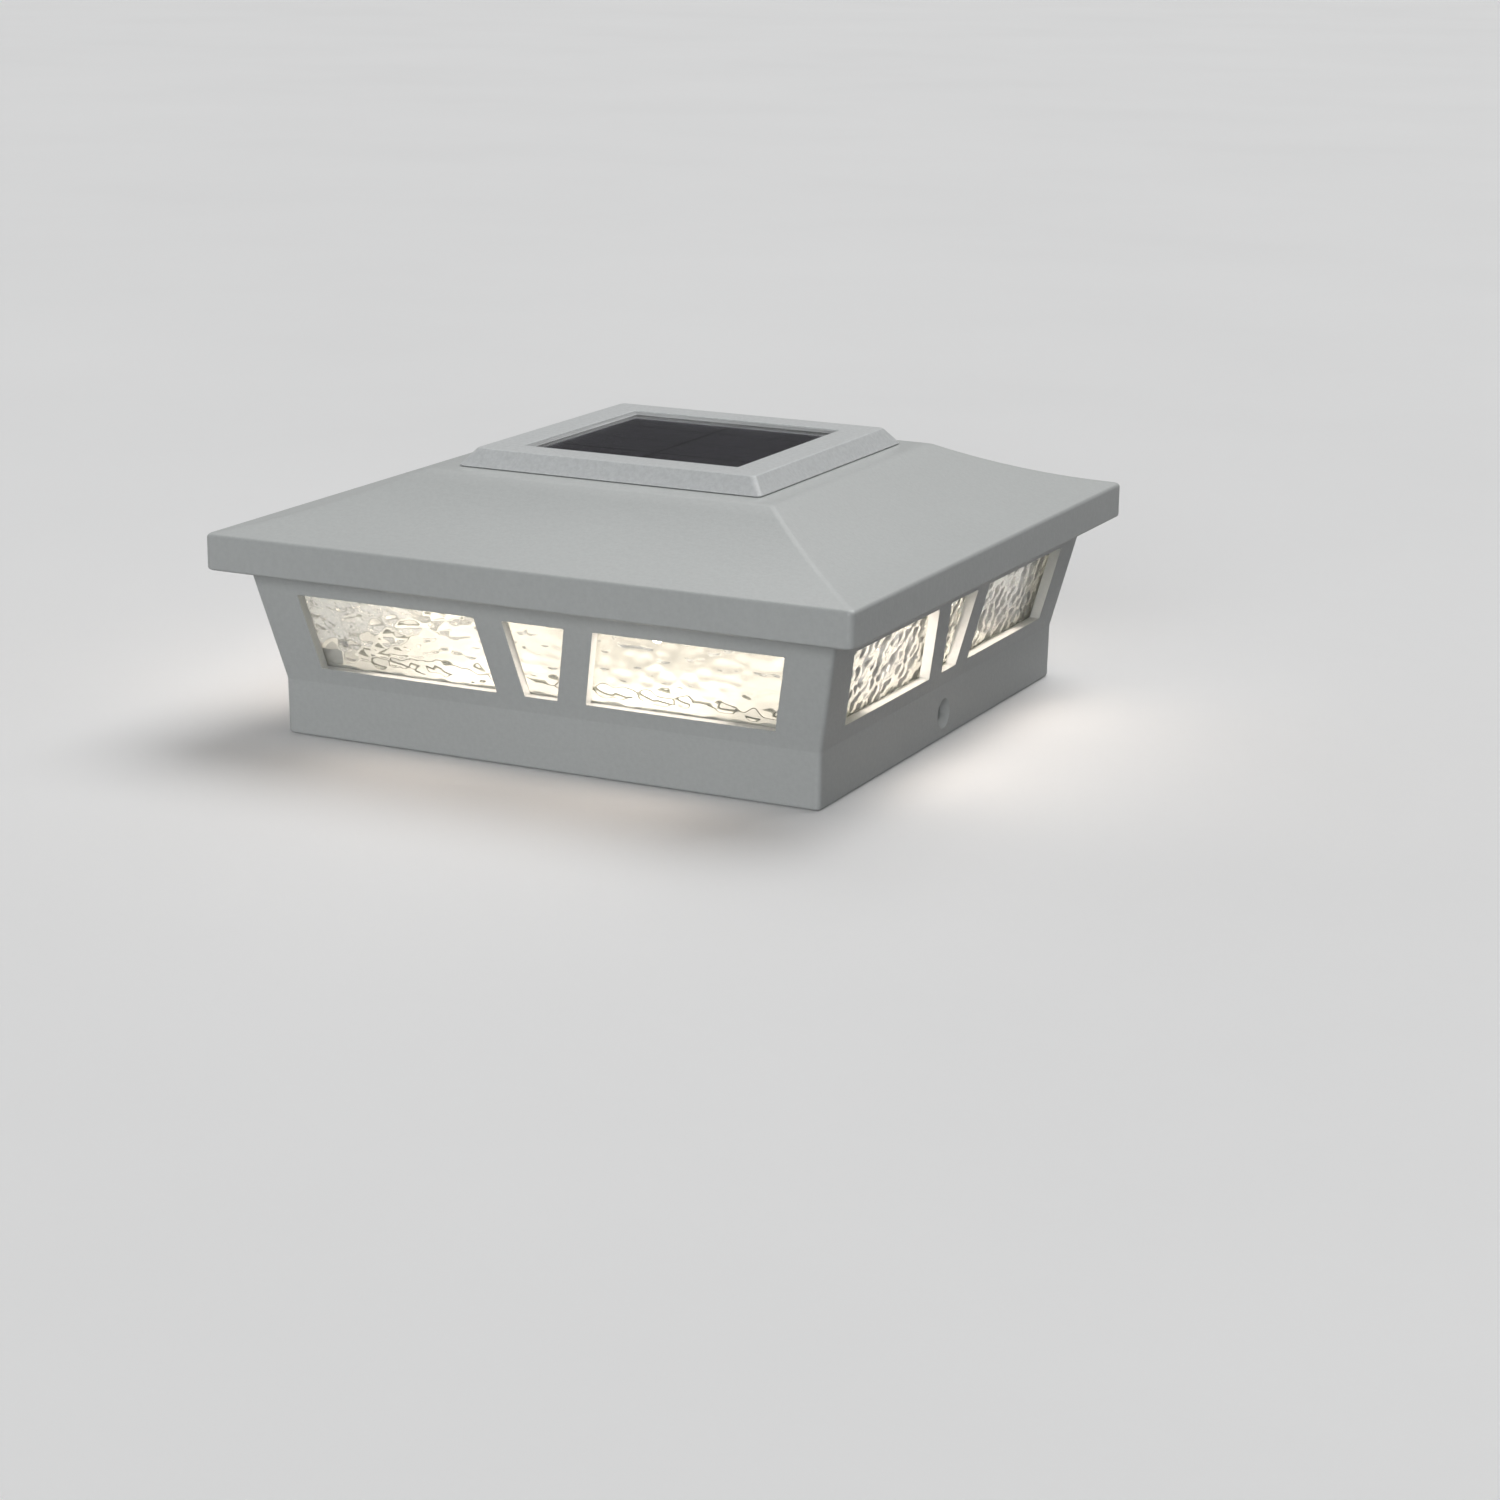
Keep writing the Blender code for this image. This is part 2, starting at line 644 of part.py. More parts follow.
def add_roof(roof):
    """Platform, hollow slopes and lip in one casting, with bosses inside."""
    lip_inside = ROOF_HALF - WALL
    platform_edge = (PLATFORM_HALF, PLATFORM_Z)
    inner_edge = (PLATFORM_HALF - 0.001, PLATFORM_Z - WALL)
    slope = hollow_arc(platform_edge, (ROOF_HALF, LIP_TOP))
    inner_slope = hollow_arc(inner_edge, (lip_inside, LIP_TOP - WALL))
    cover = square_ring("roof_cover", rounded([
        (PANEL_HOLE_HALF, PLATFORM_Z, 0),
        (*platform_edge, 0.006),
        *slope,
        (ROOF_HALF, LIP_TOP, 0.0012),
        (ROOF_HALF, LIP_LOW, 0.0008),
        (lip_inside, LIP_LOW, 0.0004),
        (lip_inside, LIP_TOP - WALL, 0.0015),
        *reversed(inner_slope),
        (*inner_edge, 0),
        (PANEL_HOLE_HALF, PLATFORM_Z - WALL, 0)]), ROOF_CORNER, "powder_coat", roof)

    tray_boss_low = TRAY_TOP + GAP
    pin_bore = PIN_RADIUS + PIN_ROOM
    bosses = [
        rod(TRAY_BOSS_RADIUS, tray_boss_low, PLATFORM_Z - WALL / 2, (TRAY_BOSS_AT, TRAY_BOSS_AT)),
        rod(REST_BOSS_RADIUS, REST_BOSS_LOW, REST_BOSS_TOP, (PIN_AT, PIN_AT))]
    holes = [
        rod(TRAY_SCREW[2] + SNUG, tray_boss_low - REACH, TRAY_BOSS_BORE_TOP,
            (TRAY_BOSS_AT, TRAY_BOSS_AT), sides=12),
        rod(pin_bore, REST_BOSS_LOW - REACH, PIN_TOP + 2 * GAP, (PIN_AT, PIN_AT), sides=16),
        rod(BEZEL_SCREW[2] + LOOSE, PLATFORM_Z - WALL - REACH, PLATFORM_Z + REACH,
            (BEZEL_SCREW_AT, BEZEL_SCREW_AT), sides=12)]
    for label, mesh in zip(("tray_bosses", "rest_bosses"), bosses):
        boolean(cover, "UNION", label, all_round(mesh))
    boolean(cover, "DIFFERENCE", "holes", [copy for hole in holes for copy in all_round(hole)])

    pad_low, pad_top = BODY_TOP + GAP, REST_BOSS_LOW - GAP
    washer = turned([
        (REST_PAD_RADIUS, pad_top), (REST_PAD_RADIUS, pad_low), (pin_bore, pad_low), (pin_bore, pad_top)],
        16, closed=True)
    for number, place in enumerate(at_corners(PIN_AT, 0), start=1):
        add_part(f"rest_pad_{number}", washer, "rubber", roof, place)


def add_solar_panel(roof):
    """Bezel, seal, backboard, four cells and glazing on the platform."""
    bezel = square_ring("solar_bezel", rounded([
        (BEZEL_TOP_HALF, BEZEL_TOP, 0.0008),
        (BEZEL_FOOT_HALF, BEZEL_LOW, 0.0002),
        (POCKET_HALF, BEZEL_LOW, 0),
        (POCKET_HALF, BEZEL_TOP - BEZEL_LIP, 0),
        (BEZEL_OPEN_HALF, BEZEL_TOP - BEZEL_LIP, 0),
        (BEZEL_OPEN_HALF, BEZEL_TOP, 0.0004)]), BEZEL_CORNER, "bezel_paint", roof)
    pilot = rod(BEZEL_SCREW[2] + SNUG, BEZEL_LOW - REACH, BEZEL_LOW + BEZEL_SCREW_BITE + GAP,
                (BEZEL_SCREW_AT, BEZEL_SCREW_AT), sides=12)
    boolean(bezel, "DIFFERENCE", "pilots", all_round(pilot))

    panel_half = POCKET_HALF - 0.0004
    gasket_low = PLATFORM_Z + STACK_GAP
    gasket_top = gasket_low + GASKET_THICK
    gasket_inner = PANEL_HOLE_HALF + 3 * GAP
    square_ring("panel_gasket", [
        (panel_half, gasket_top), (panel_half, gasket_low),
        (gasket_inner, gasket_low), (gasket_inner, gasket_top)], 0, "foam", roof)

    board_low = gasket_top + STACK_GAP
    board_top = board_low + BACKBOARD_THICK
    add_part("solar_backboard", prism(square(panel_half, PANEL_CORNER), board_low, board_top),
             "circuit_white", roof)

    cell_low = board_top + STACK_GAP
    cell_top = cell_low + CELL_THICK
    for number, (x, y) in enumerate(CORNERS, start=1):
        left, right = sorted((x * CELL_SPLIT_X, x * CELL_HALF))
        front, back = sorted((y * CELL_SPLIT_Y, y * CELL_HALF))
        cell = block((left, front, cell_low), (right, back, cell_top))
        add_part(f"solar_cell_{number}", cell, "silicon", roof)

    glazing_low = cell_top + STACK_GAP
    add_part("solar_glass",
             prism(square(panel_half, PANEL_CORNER), glazing_low, glazing_low + GLAZING_THICK),
             "panel_glazing", roof)

    head_seat = PLATFORM_Z - WALL - GAP
    screw = screw_mesh(BEZEL_SCREW, BEZEL_LOW + BEZEL_SCREW_BITE - head_seat)
    add_screws("bezel_screw", screw, at_corners(BEZEL_SCREW_AT, head_seat, True), roof)


# ---------------------------------------------------------------- light tray and lamps

def door_rails():
    """Meshes of the two hooked rails that hold the battery door, and its end stop."""
    inner = DOOR_HALF_X + GAP
    outer = inner + RAIL_WIDTH
    door_low = TRAY_LOW - GAP - DOOR_THICK
    hook_top = door_low - GAP
    hook_low = hook_top - RAIL_THICK
    into_tray = TRAY_LOW + SINK
    meshes = []
    for side in (-1, 1):
        spans = [(inner, hook_low, into_tray), (inner - GAP - RAIL_REACH, hook_low, hook_top)]
        for reach, low, high in spans:
            left, right = sorted((side * reach, side * outer))
            meshes.append(block((left, -DOOR_HALF_Y - REACH, low), (right, DOOR_HALF_Y, high)))
    stop = -DOOR_HALF_Y - GAP
    meshes.append(block((-outer, stop - RAIL_WIDTH, hook_low), (outer, stop, into_tray)))
    return meshes


def add_tray(roof):
    """White moulding: ceiling of the light chamber, battery bay, rails, pegs and board posts."""
    tray = add_part(
        "light_tray", prism(square(TRAY_HALF, 0.003), TRAY_LOW, TRAY_TOP), "white_plastic", roof)
    bay_top = CELL_CENTRE_Z + BAY_HALF_Y
    bay_outer = (BAY_HALF_X + BAY_WALL, BAY_HALF_Y + BAY_WALL)
    inside = TRAY_TOP - SINK
    bay = block((-bay_outer[0], -bay_outer[1], inside), (*bay_outer, bay_top + BAY_WALL))
    boolean(tray, "UNION", "bay", [bay])
    for number, mesh in enumerate(door_rails(), start=1):
        boolean(tray, "UNION", f"rail_{number}", [mesh])

    board_low = TRAY_LOW - GAP - LED_BOARD_THICK
    head_top = board_low - GAP
    peg = rod(PEG_RADIUS, head_top - SINK, TRAY_LOW + SINK, (PEG_AT, PEG_AT), sides=12)
    peg_head = rod(PEG_HEAD_RADIUS, head_top - PEG_HEAD_THICK, head_top, (PEG_AT, PEG_AT), sides=12)
    boolean(tray, "UNION", "pegs", all_round(peg))
    boolean(tray, "UNION", "peg_heads", all_round(peg_head))

    screw_x, screw_y = BOARD_SCREW_AT
    post_top = BOARD_LOW - GAP
    posts = [rod(BOARD_POST_RADIUS, inside, post_top, (x, screw_y), sides=16)
             for x in (-screw_x, screw_x)]
    boolean(tray, "UNION", "board_posts", posts)

    bay_room = block((-BAY_HALF_X, -BAY_HALF_Y, TRAY_LOW - REACH), (BAY_HALF_X, BAY_HALF_Y, bay_top))
    boolean(tray, "DIFFERENCE", "bay_room", [bay_room])
    way_start, way_end = BAY_HALF_X - REACH, bay_outer[0] + REACH
    tab_y, tab_z = CONTACT_TAB_HALF + GAP, CONTACT_THICK / 2 + GAP
    tab_way = block(
        (way_start, -tab_y, CELL_CENTRE_Z - tab_z), (way_end, tab_y, CELL_CENTRE_Z + tab_z))
    tail_way = moved(
        rod(SPRING_WIRE + LOOSE, way_start, way_end, sides=10),
        Matrix.Translation((0, 0, CELL_CENTRE_Z)) @ Matrix.Rotation(math.radians(-90), 4, "Y"))
    boolean(tray, "DIFFERENCE", "contact_ways", [tab_way, tail_way])

    below, above = TRAY_LOW - REACH, TRAY_TOP + REACH
    screw_way = rod(TRAY_SCREW[2] + LOOSE, below, above, (TRAY_BOSS_AT, TRAY_BOSS_AT), sides=12)
    boolean(tray, "DIFFERENCE", "screw_ways", all_round(screw_way))
    pilots = [rod(BOARD_SCREW[2] + SNUG, TRAY_TOP, post_top + REACH, (x, screw_y), sides=12)
              for x in (-screw_x, screw_x)]
    slot_x = STEM_HALF[0] + SWITCH_TRAVEL / 2 + GAP
    slot_y = STEM_HALF[1] + GAP
    lead_x, lead_y = LEAD_SLOT
    slots = [
        block((-slot_x, SWITCH_Y - slot_y, below), (slot_x, SWITCH_Y + slot_y, above)),
        block((-lead_x, LEAD_SLOT_Y - lead_y, below), (lead_x, LEAD_SLOT_Y + lead_y, above))]
    boolean(tray, "DIFFERENCE", "slots", pilots + slots)

    screw = screw_mesh(TRAY_SCREW, TRAY_BOSS_BORE_TOP - TRAY_LOW - REACH)
    add_screws("tray_screw", screw, at_corners(TRAY_BOSS_AT, TRAY_LOW - GAP, True), roof)


def add_lamps(roof):
    """Ring-shaped lamp board under the tray, with two lamps to each side."""
    top = TRAY_LOW - GAP
    low = top - LED_BOARD_THICK
    board = square_ring("led_board", [
        (LED_BOARD_HALF, top), (LED_BOARD_HALF, low), (LED_BOARD_INNER, low), (LED_BOARD_INNER, top)],
        0, "circuit_white", roof)
    tab = block((-TAB_HALF, -LED_BOARD_INNER - REACH, low), (TAB_HALF, TAB_END_Y, top))
    boolean(board, "UNION", "tab", [tab])
    peg_way = rod(PEG_RADIUS + GAP, low - REACH, top + REACH, (PEG_AT, PEG_AT), sides=12)
    boolean(board, "DIFFERENCE", "peg_ways", all_round(peg_way))

    seat = low - GAP
    dome_start = seat - LED_LENGTH + LED_RADIUS
    rim_radius, rim_low = LED_RADIUS + LED_RIM[0], seat - LED_RIM[1]
    profile = [(0, seat), (rim_radius, seat), (rim_radius, rim_low), (LED_RADIUS, rim_low)]
    for step in range(LED_DOME_STEPS + 1):
        angle = math.radians(90) * step / LED_DOME_STEPS
        profile.append((LED_RADIUS * math.cos(angle), dome_start - LED_RADIUS * math.sin(angle)))
    profile[-1] = (0, seat - LED_LENGTH)
    lamp = turned(profile, 12)
    x, y = LED_AT
    places = [quarter @ Matrix.Translation((side * x, y, 0)) for quarter in QUARTERS
              for side in (-1, 1)]
    for number, place in enumerate(places, start=1):
        add_part(f"led_{number}", lamp, "lamp_resin", roof, place)


# ---------------------------------------------------------------- battery

def add_battery(roof):
    """The cell and its two contacts in the bay."""
    end_x = BATTERY_START_X + BATTERY_LENGTH
    groove = 0.0004
    along_x = Matrix.Translation((0, 0, CELL_CENTRE_Z)) @ Matrix.Rotation(math.radians(90), 4, "Y")
    cell = turned([
        (0, end_x + NUB_LENGTH), (NUB_RADIUS, end_x + NUB_LENGTH), (NUB_RADIUS, end_x),
        (BATTERY_RADIUS - groove, end_x), (BATTERY_RADIUS, end_x - groove),
        (BATTERY_RADIUS, BATTERY_START_X + groove), (BATTERY_RADIUS - groove, BATTERY_START_X),
        (0, BATTERY_START_X)], 24)
    add_part("battery_cell", moved(cell, along_x), "battery_sleeve", roof)

    plate_x = BAY_HALF_X - GAP - CONTACT_THICK
    plate = add_part("contact_plate", block(
        (plate_x, -CONTACT_HALF, CELL_CENTRE_Z - CONTACT_HALF),
        (plate_x + CONTACT_THICK, CONTACT_HALF, CELL_CENTRE_Z + CONTACT_HALF)), "nickel", roof)
    tab_half = CONTACT_THICK / 2
    boolean(plate, "UNION", "tab", [block(
        (plate_x + CONTACT_THICK / 2, -CONTACT_TAB_HALF, CELL_CENTRE_Z - tab_half),
        (TAIL_END_X, CONTACT_TAB_HALF, CELL_CENTRE_Z + tab_half))])

    base_x = GAP + SPRING_WIRE - BAY_HALF_X + 0.0002
    length = BATTERY_START_X - 2 * GAP - SPRING_WIRE - base_x
    steps = 10 * SPRING_TURNS
    tail = [(-TAIL_END_X, 0, CELL_CENTRE_Z), (base_x - 0.001, 0, CELL_CENTRE_Z),
            (base_x, SPRING_WIRE, CELL_CENTRE_Z), (base_x, SPRING_WIDE / 2, CELL_CENTRE_Z)]
    coil = []
    for step in range(steps + 1):
        share = step / steps
        angle = 2 * math.pi * SPRING_TURNS * share
        radius = SPRING_WIDE + (SPRING_NARROW - SPRING_WIDE) * share
        coil.append((base_x + length * share, radius * math.cos(angle),
                     CELL_CENTRE_Z + radius * math.sin(angle)))
    wire("contact_spring", tail + coil, SPRING_WIRE, "nickel", roof)


def add_door(roof):
    """Battery door that slides in the tray's rails, ribbed for the thumb."""
    top = TRAY_LOW - GAP
    low = top - DOOR_THICK
    frame = add_empty("battery_door_slide", (0, 0, low), roof)
    door = add_part("battery_door", block(
        (-DOOR_HALF_X, -DOOR_HALF_Y, low), (DOOR_HALF_X, DOOR_HALF_Y, top)), "white_plastic", frame)
    rib_x, rib_y = RIB_HALF
    ribs = [block((-rib_x, y - rib_y, low - RIB_HEIGHT), (rib_x, y + rib_y, low + SINK))
            for y in RIB_AT]
    boolean(door, "UNION", "ribs", ribs)


# ---------------------------------------------------------------- electronics

def add_electronics(roof):
    """Circuit board on the tray's posts, and the slide switch under it."""
    top = BOARD_LOW + BOARD_THICK
    screw_x, screw_y = BOARD_SCREW_AT
    board = add_part("circuit_board", block(
        (-BOARD_HALF_X, BOARD_Y[0], BOARD_LOW), (BOARD_HALF_X, BOARD_Y[1], top)),
        "circuit_green", roof)
    holes = [rod(BOARD_SCREW[2] + LOOSE, BOARD_LOW - REACH, top + REACH, (x, screw_y), sides=12)
             for x in (-screw_x, screw_x)]
    boolean(board, "DIFFERENCE", "holes", holes)
    head_seat = top + GAP
    screw = screw_mesh(BOARD_SCREW, head_seat - TRAY_TOP - REACH)
    places = [Matrix.Translation((x, screw_y, head_seat)) for x in (-screw_x, screw_x)]
    add_screws("board_screw", screw, places, roof)

    low = TRAY_TOP + GAP
    half_x, half_y = SWITCH_BODY
    body = add_part("switch_body", block(
        (-half_x, SWITCH_Y - half_y, low), (half_x, SWITCH_Y + half_y, BOARD_LOW - GAP)),
        "black_plastic", roof)
    slot_x = STEM_HALF[0] + SWITCH_TRAVEL / 2 + GAP
    slot_y = STEM_HALF[1] + GAP
    slot_top = low + SWITCH_SLOT_DEPTH
    boolean(body, "DIFFERENCE", "slot", [block(
        (-slot_x, SWITCH_Y - slot_y, low - REACH), (slot_x, SWITCH_Y + slot_y, slot_top))])

    rest_x = -SWITCH_TRAVEL / 2
    frame = add_empty("switch_slide", (rest_x, SWITCH_Y, TRAY_LOW), roof)
    knob_top = TRAY_LOW - GAP
    slider = add_part("switch_slider", block(
        (rest_x - KNOB_HALF[0], SWITCH_Y - KNOB_HALF[1], knob_top - KNOB_THICK),
        (rest_x + KNOB_HALF[0], SWITCH_Y + KNOB_HALF[1], knob_top)), "grey_plastic", frame)
    boolean(slider, "UNION", "stem", [block(
        (rest_x - STEM_HALF[0], SWITCH_Y - STEM_HALF[1], knob_top - SINK),
        (rest_x + STEM_HALF[0], SWITCH_Y + STEM_HALF[1], slot_top - GAP))])


def add_wires(roof):
    """Two leads each from the panel, the battery and the lamp board, along their whole routes."""
    board_top = BOARD_LOW + BOARD_THICK + GAP
    panel_low = PLATFORM_Z + STACK_GAP * 2 + GASKET_THICK - GAP
    lamp_top = TRAY_LOW
    tail_x = TAIL_END_X + GAP
    for side, colour in ((1, "red"), (-1, "black")):
        finish = colour + "_wire"
        solar = [
            (side * 0.005, -0.014, panel_low), (side * 0.005, -0.014, panel_low - 0.003),
            (side * 0.005, -0.016, 0.065), (side * 0.005, -0.020, 0.060),
            (side * 0.005, -0.021, board_top + 0.002), (side * 0.005, -0.021, board_top)]
        battery = [
            (side * tail_x, 0, CELL_CENTRE_Z), (side * (tail_x + 0.002), 0, CELL_CENTRE_Z),
            (side * (tail_x + 0.0035), -0.006, 0.0585), (side * 0.034, -0.015, 0.0600),
            (side * 0.026, -0.021, 0.0605), (side * 0.0185, -0.0225, 0.0590),
            (side * 0.018, -0.0225, board_top)]
        lamps = [
            (side * 0.010, -0.036, board_top), (side * 0.010, -0.036, board_top + 0.0015),
            (side * 0.009, -0.041, board_top + 0.0035), (side * 0.006, -0.048, 0.0570),
            (side * 0.003, -0.0545, 0.0535), (side * 0.002, LEAD_SLOT_Y, 0.0500),
            (side * 0.002, LEAD_SLOT_Y, lamp_top)]
        wire("solar_lead_" + colour, smooth_route(solar, 4), WIRE_RADIUS, finish, roof)
        wire("battery_lead_" + colour, smooth_route(battery, 4), WIRE_RADIUS, finish, roof)
        wire("led_lead_" + colour, smooth_route(lamps, 4), WIRE_RADIUS, finish, roof)


def main():
    start_scene()
    make_finishes()
    add_base()
    add_glass()
    add_reflector()
    roof = add_empty("roof_lift", (0, 0, BODY_TOP))
    add_roof(roof)
    add_solar_panel(roof)
    add_tray(roof)
    add_lamps(roof)
    add_battery(roof)
    add_door(roof)
    add_electronics(roof)
    add_wires(roof)


main()
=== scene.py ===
import json
import math

import bmesh
import bpy
from mathutils import Matrix, Vector, noise

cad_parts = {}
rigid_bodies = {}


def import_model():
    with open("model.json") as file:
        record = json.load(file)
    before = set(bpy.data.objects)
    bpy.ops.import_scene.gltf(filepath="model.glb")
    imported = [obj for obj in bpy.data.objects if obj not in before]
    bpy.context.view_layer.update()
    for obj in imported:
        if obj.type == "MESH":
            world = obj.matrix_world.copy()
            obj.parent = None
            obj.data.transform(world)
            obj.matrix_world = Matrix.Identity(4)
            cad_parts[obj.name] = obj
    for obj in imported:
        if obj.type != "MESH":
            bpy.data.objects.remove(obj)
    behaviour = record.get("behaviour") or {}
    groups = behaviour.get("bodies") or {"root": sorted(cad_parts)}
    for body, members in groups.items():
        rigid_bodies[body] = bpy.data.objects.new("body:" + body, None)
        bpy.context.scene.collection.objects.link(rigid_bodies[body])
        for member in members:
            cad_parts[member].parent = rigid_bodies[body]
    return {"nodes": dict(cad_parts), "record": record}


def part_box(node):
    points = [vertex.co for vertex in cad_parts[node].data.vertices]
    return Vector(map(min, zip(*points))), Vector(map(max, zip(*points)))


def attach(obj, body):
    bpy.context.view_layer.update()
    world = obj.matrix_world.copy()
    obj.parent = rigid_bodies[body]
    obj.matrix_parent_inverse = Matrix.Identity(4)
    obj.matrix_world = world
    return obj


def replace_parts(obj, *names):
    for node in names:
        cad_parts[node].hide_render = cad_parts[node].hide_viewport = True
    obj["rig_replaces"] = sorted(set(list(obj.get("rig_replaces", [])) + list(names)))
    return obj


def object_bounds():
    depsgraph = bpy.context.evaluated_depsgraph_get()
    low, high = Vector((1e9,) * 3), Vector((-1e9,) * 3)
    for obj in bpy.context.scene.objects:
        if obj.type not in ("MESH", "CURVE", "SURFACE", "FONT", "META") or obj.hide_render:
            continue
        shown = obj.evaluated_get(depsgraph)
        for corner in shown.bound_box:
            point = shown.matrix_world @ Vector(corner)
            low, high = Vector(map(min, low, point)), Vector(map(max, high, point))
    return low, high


# Looks of a solar post cap: powder-coated castings, hammered glass lit from inside, a small solar
# panel and its electronics. Metres, +Z up, front -Y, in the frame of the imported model.

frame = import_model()
CAD_LOW, CAD_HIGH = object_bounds()
NODES = frame["nodes"]

SIDES = ("front", "right", "back", "left")
QUARTERS = [Matrix.Rotation(math.radians(90 * k), 4, "Z") for k in range(4)]
MERGE = 0.000001        # points closer than this are one point

# Camera
CAMERA_PLACE = (0.4144, -0.8080, 0.2388)
CAMERA_AZIMUTH = 25.93
CAMERA_ELEVATION = 15.55
CAMERA_ROLL = 0.685
CAMERA_LENS = 78.8
CAMERA_SENSOR = 36      # width of the sensor in millimetres, as the lens's length is

# Hammered glass
PANE_STEP = 0.0005      # grid of the pressed face
DOME_WIDE = 0.0044
DOME_HIGH = 0.0030
DOME_DEPTH = 0.00055
DOME_SWAY = 0.35        # how far the rows of domes wander, in domes
DOME_ROUND = 0.5        # squared distance, in domes, at which a dome reaches its full depth
WAVE_LENGTH = 0.0110
WAVE_SQUASH = 1.6       # the waves are this much shorter upwards
WAVE_DEPTH = 0.00030
RIPPLE_LENGTH = 0.0014
RIPPLE_DEPTH = 0.00002
PANE_BORDER = 0.0012    # the pattern fades out over this width along the pane's rim

# Seals and solar cells
SEAL_HALF = 0.0655      # strip on the reflector: half its outer size
SEAL_WIDTH = 0.0022
SEAL_THICK = 0.0005
SEAL_EDGE = 0.0002
CELL_COVER = 0.0018     # how far the bezel's lip reaches over the cells
BEAD_WIDTH = 0.0005     # sealant round the solar glass
BEAD_HIGH = 0.0008
BEAD_UNDER = 0.0010     # how far the sealant reaches under the bezel's lip
BEAD_FOOT = 0.0002
BEAD_STEPS = 4
STRIP_GAP = 0.00035     # half the dark line between two silicon strips
STRIP_EDGE = 0.00005

# Lamps
WARM = (1.0, 0.90, 0.79)
LENS_STEPS = 10
LAMP_SIDES = 32
LAMP_RIM = 0.0004       # how far the rim stands out
LAMP_RIM_HIGH = 0.0010
LAMP_EDGE = 0.0001
LAMP_TIP_GAP = 0.0016   # from a lens to the middle of the small ball that its light comes from
LAMP_TIP_RADIUS = 0.0012
LAMP_WATTS = 0.0255
LAMP_SHARES = (0.85, 1.10, 1.10, 1.12, 1.10, 1.10, 1.15, 1.15)      # lamps 1 to 8

# The light that the lit glass throws on its own jambs and sills, from panels just outside the panes
GLOW_COLOUR = (1.0, 0.86, 0.75)
GLOW_WINDOWS = ((-0.0335, 0.0400), (0.0, 0.0100), (0.0335, 0.0400))     # middle and width
GLOW_SILL = 0.0208      # lower edge of a panel
GLOW_HEIGHT = 0.0195
GLOW_GAP = 0.0004       # from the pane to the panel
GLOW_EXITANCE = 10.5    # W/m2

# Studio
SOFT_SPREAD = 40        # degrees across each soft light
SKY_LOW = 0.06          # brightness of the sky at the horizon and below
SKY_HIGH = 0.04
FLOOR_HALF = 8.0
FLOOR_GAP = 0.0002


# ---------------------------------------------------------------- finishes

class Finish:
    """A node material in the making, with short calls for the nodes that it needs."""

    def __init__(self, name, **values):
        self.material = bpy.data.materials.new(name)
        self.material.use_nodes = True
        self.tree = self.material.node_tree
        self.shader = self.tree.nodes["Principled BSDF"]
        self.place = self.node("ShaderNodeTexCoord").outputs["Object"]
        for socket, value in values.items():
            self.set(socket.replace("_", " "), value)

    def node(self, kind, feeds=None, **settings):
        """A node with its settings, and with values or sockets fed to its named inputs."""
        node = self.tree.nodes.new(kind)
        for name, value in settings.items():
            setattr(node, name, value)
        for name, value in (feeds or {}).items():
            self.feed(node.inputs[name], value)
        return node

    def feed(self, socket, value):
        if isinstance(value, bpy.types.NodeSocket):
            self.tree.links.new(value, socket)
        else:
            socket.default_value = value

    def set(self, name, value):
        """Feeds an input of the shader."""
        if isinstance(value, tuple) and len(value) == 3:
            value = (*value, 1.0)
        self.feed(self.shader.inputs[name], value)

    def stretched(self, scale):
        """Object coordinates with a factor on each axis."""
        return self.node("ShaderNodeMapping", {"Vector": self.place, "Scale": scale}).outputs[0]

    def noise(self, size, detail=2.0, rough=0.5, place=None, twist=0.0):
        """Noise whose features are about this many metres across."""
        feeds = {"Vector": place or self.place, "Scale": 1 / size, "Detail": detail,
                 "Roughness": rough, "Distortion": twist}
        return self.node("ShaderNodeTexNoise", feeds).outputs["Fac"]

    def cells(self, size, feature="F1", place=None):
        feeds = {"Vector": place or self.place, "Scale": 1 / size}
        return self.node("ShaderNodeTexVoronoi", feeds, feature=feature).outputs["Distance"]

    def range(self, value, low, high, new_low=0.0, new_high=1.0):
        feeds = {"Value": value, "From Min": low, "From Max": high,
                 "To Min": new_low, "To Max": new_high}
        return self.node("ShaderNodeMapRange", feeds).outputs["Result"]

    def math(self, operation, first, second=0.0):
        node = self.node("ShaderNodeMath", operation=operation)
        self.feed(node.inputs[0], first)
        self.feed(node.inputs[1], second)
        return node.outputs[0]

    def mix(self, share, first, second):
        """A colour between two colours."""
        node = self.node("ShaderNodeMix", data_type="RGBA")
        for socket, value in zip((node.inputs[0], node.inputs[6], node.inputs[7]),
                                 (share, first, second)):
            self.feed(socket, (*value, 1.0) if isinstance(value, tuple) else value)
        return node.outputs[2]

    def axis(self, name):
        """One coordinate of the place."""
        return self.node("ShaderNodeSeparateXYZ", {"Vector": self.place}).outputs[name]

    def bump(self, height, depth):
        """Feeds the shader's normal with relief of this many metres for a height from 0 to 1."""
        feeds = {"Height": height, "Distance": depth, "Strength": 1.0}
        before = self.shader.inputs["Normal"]
        if before.is_linked:
            feeds["Normal"] = before.links[0].from_socket
        self.feed(before, self.node("ShaderNodeBump", feeds).outputs["Normal"])


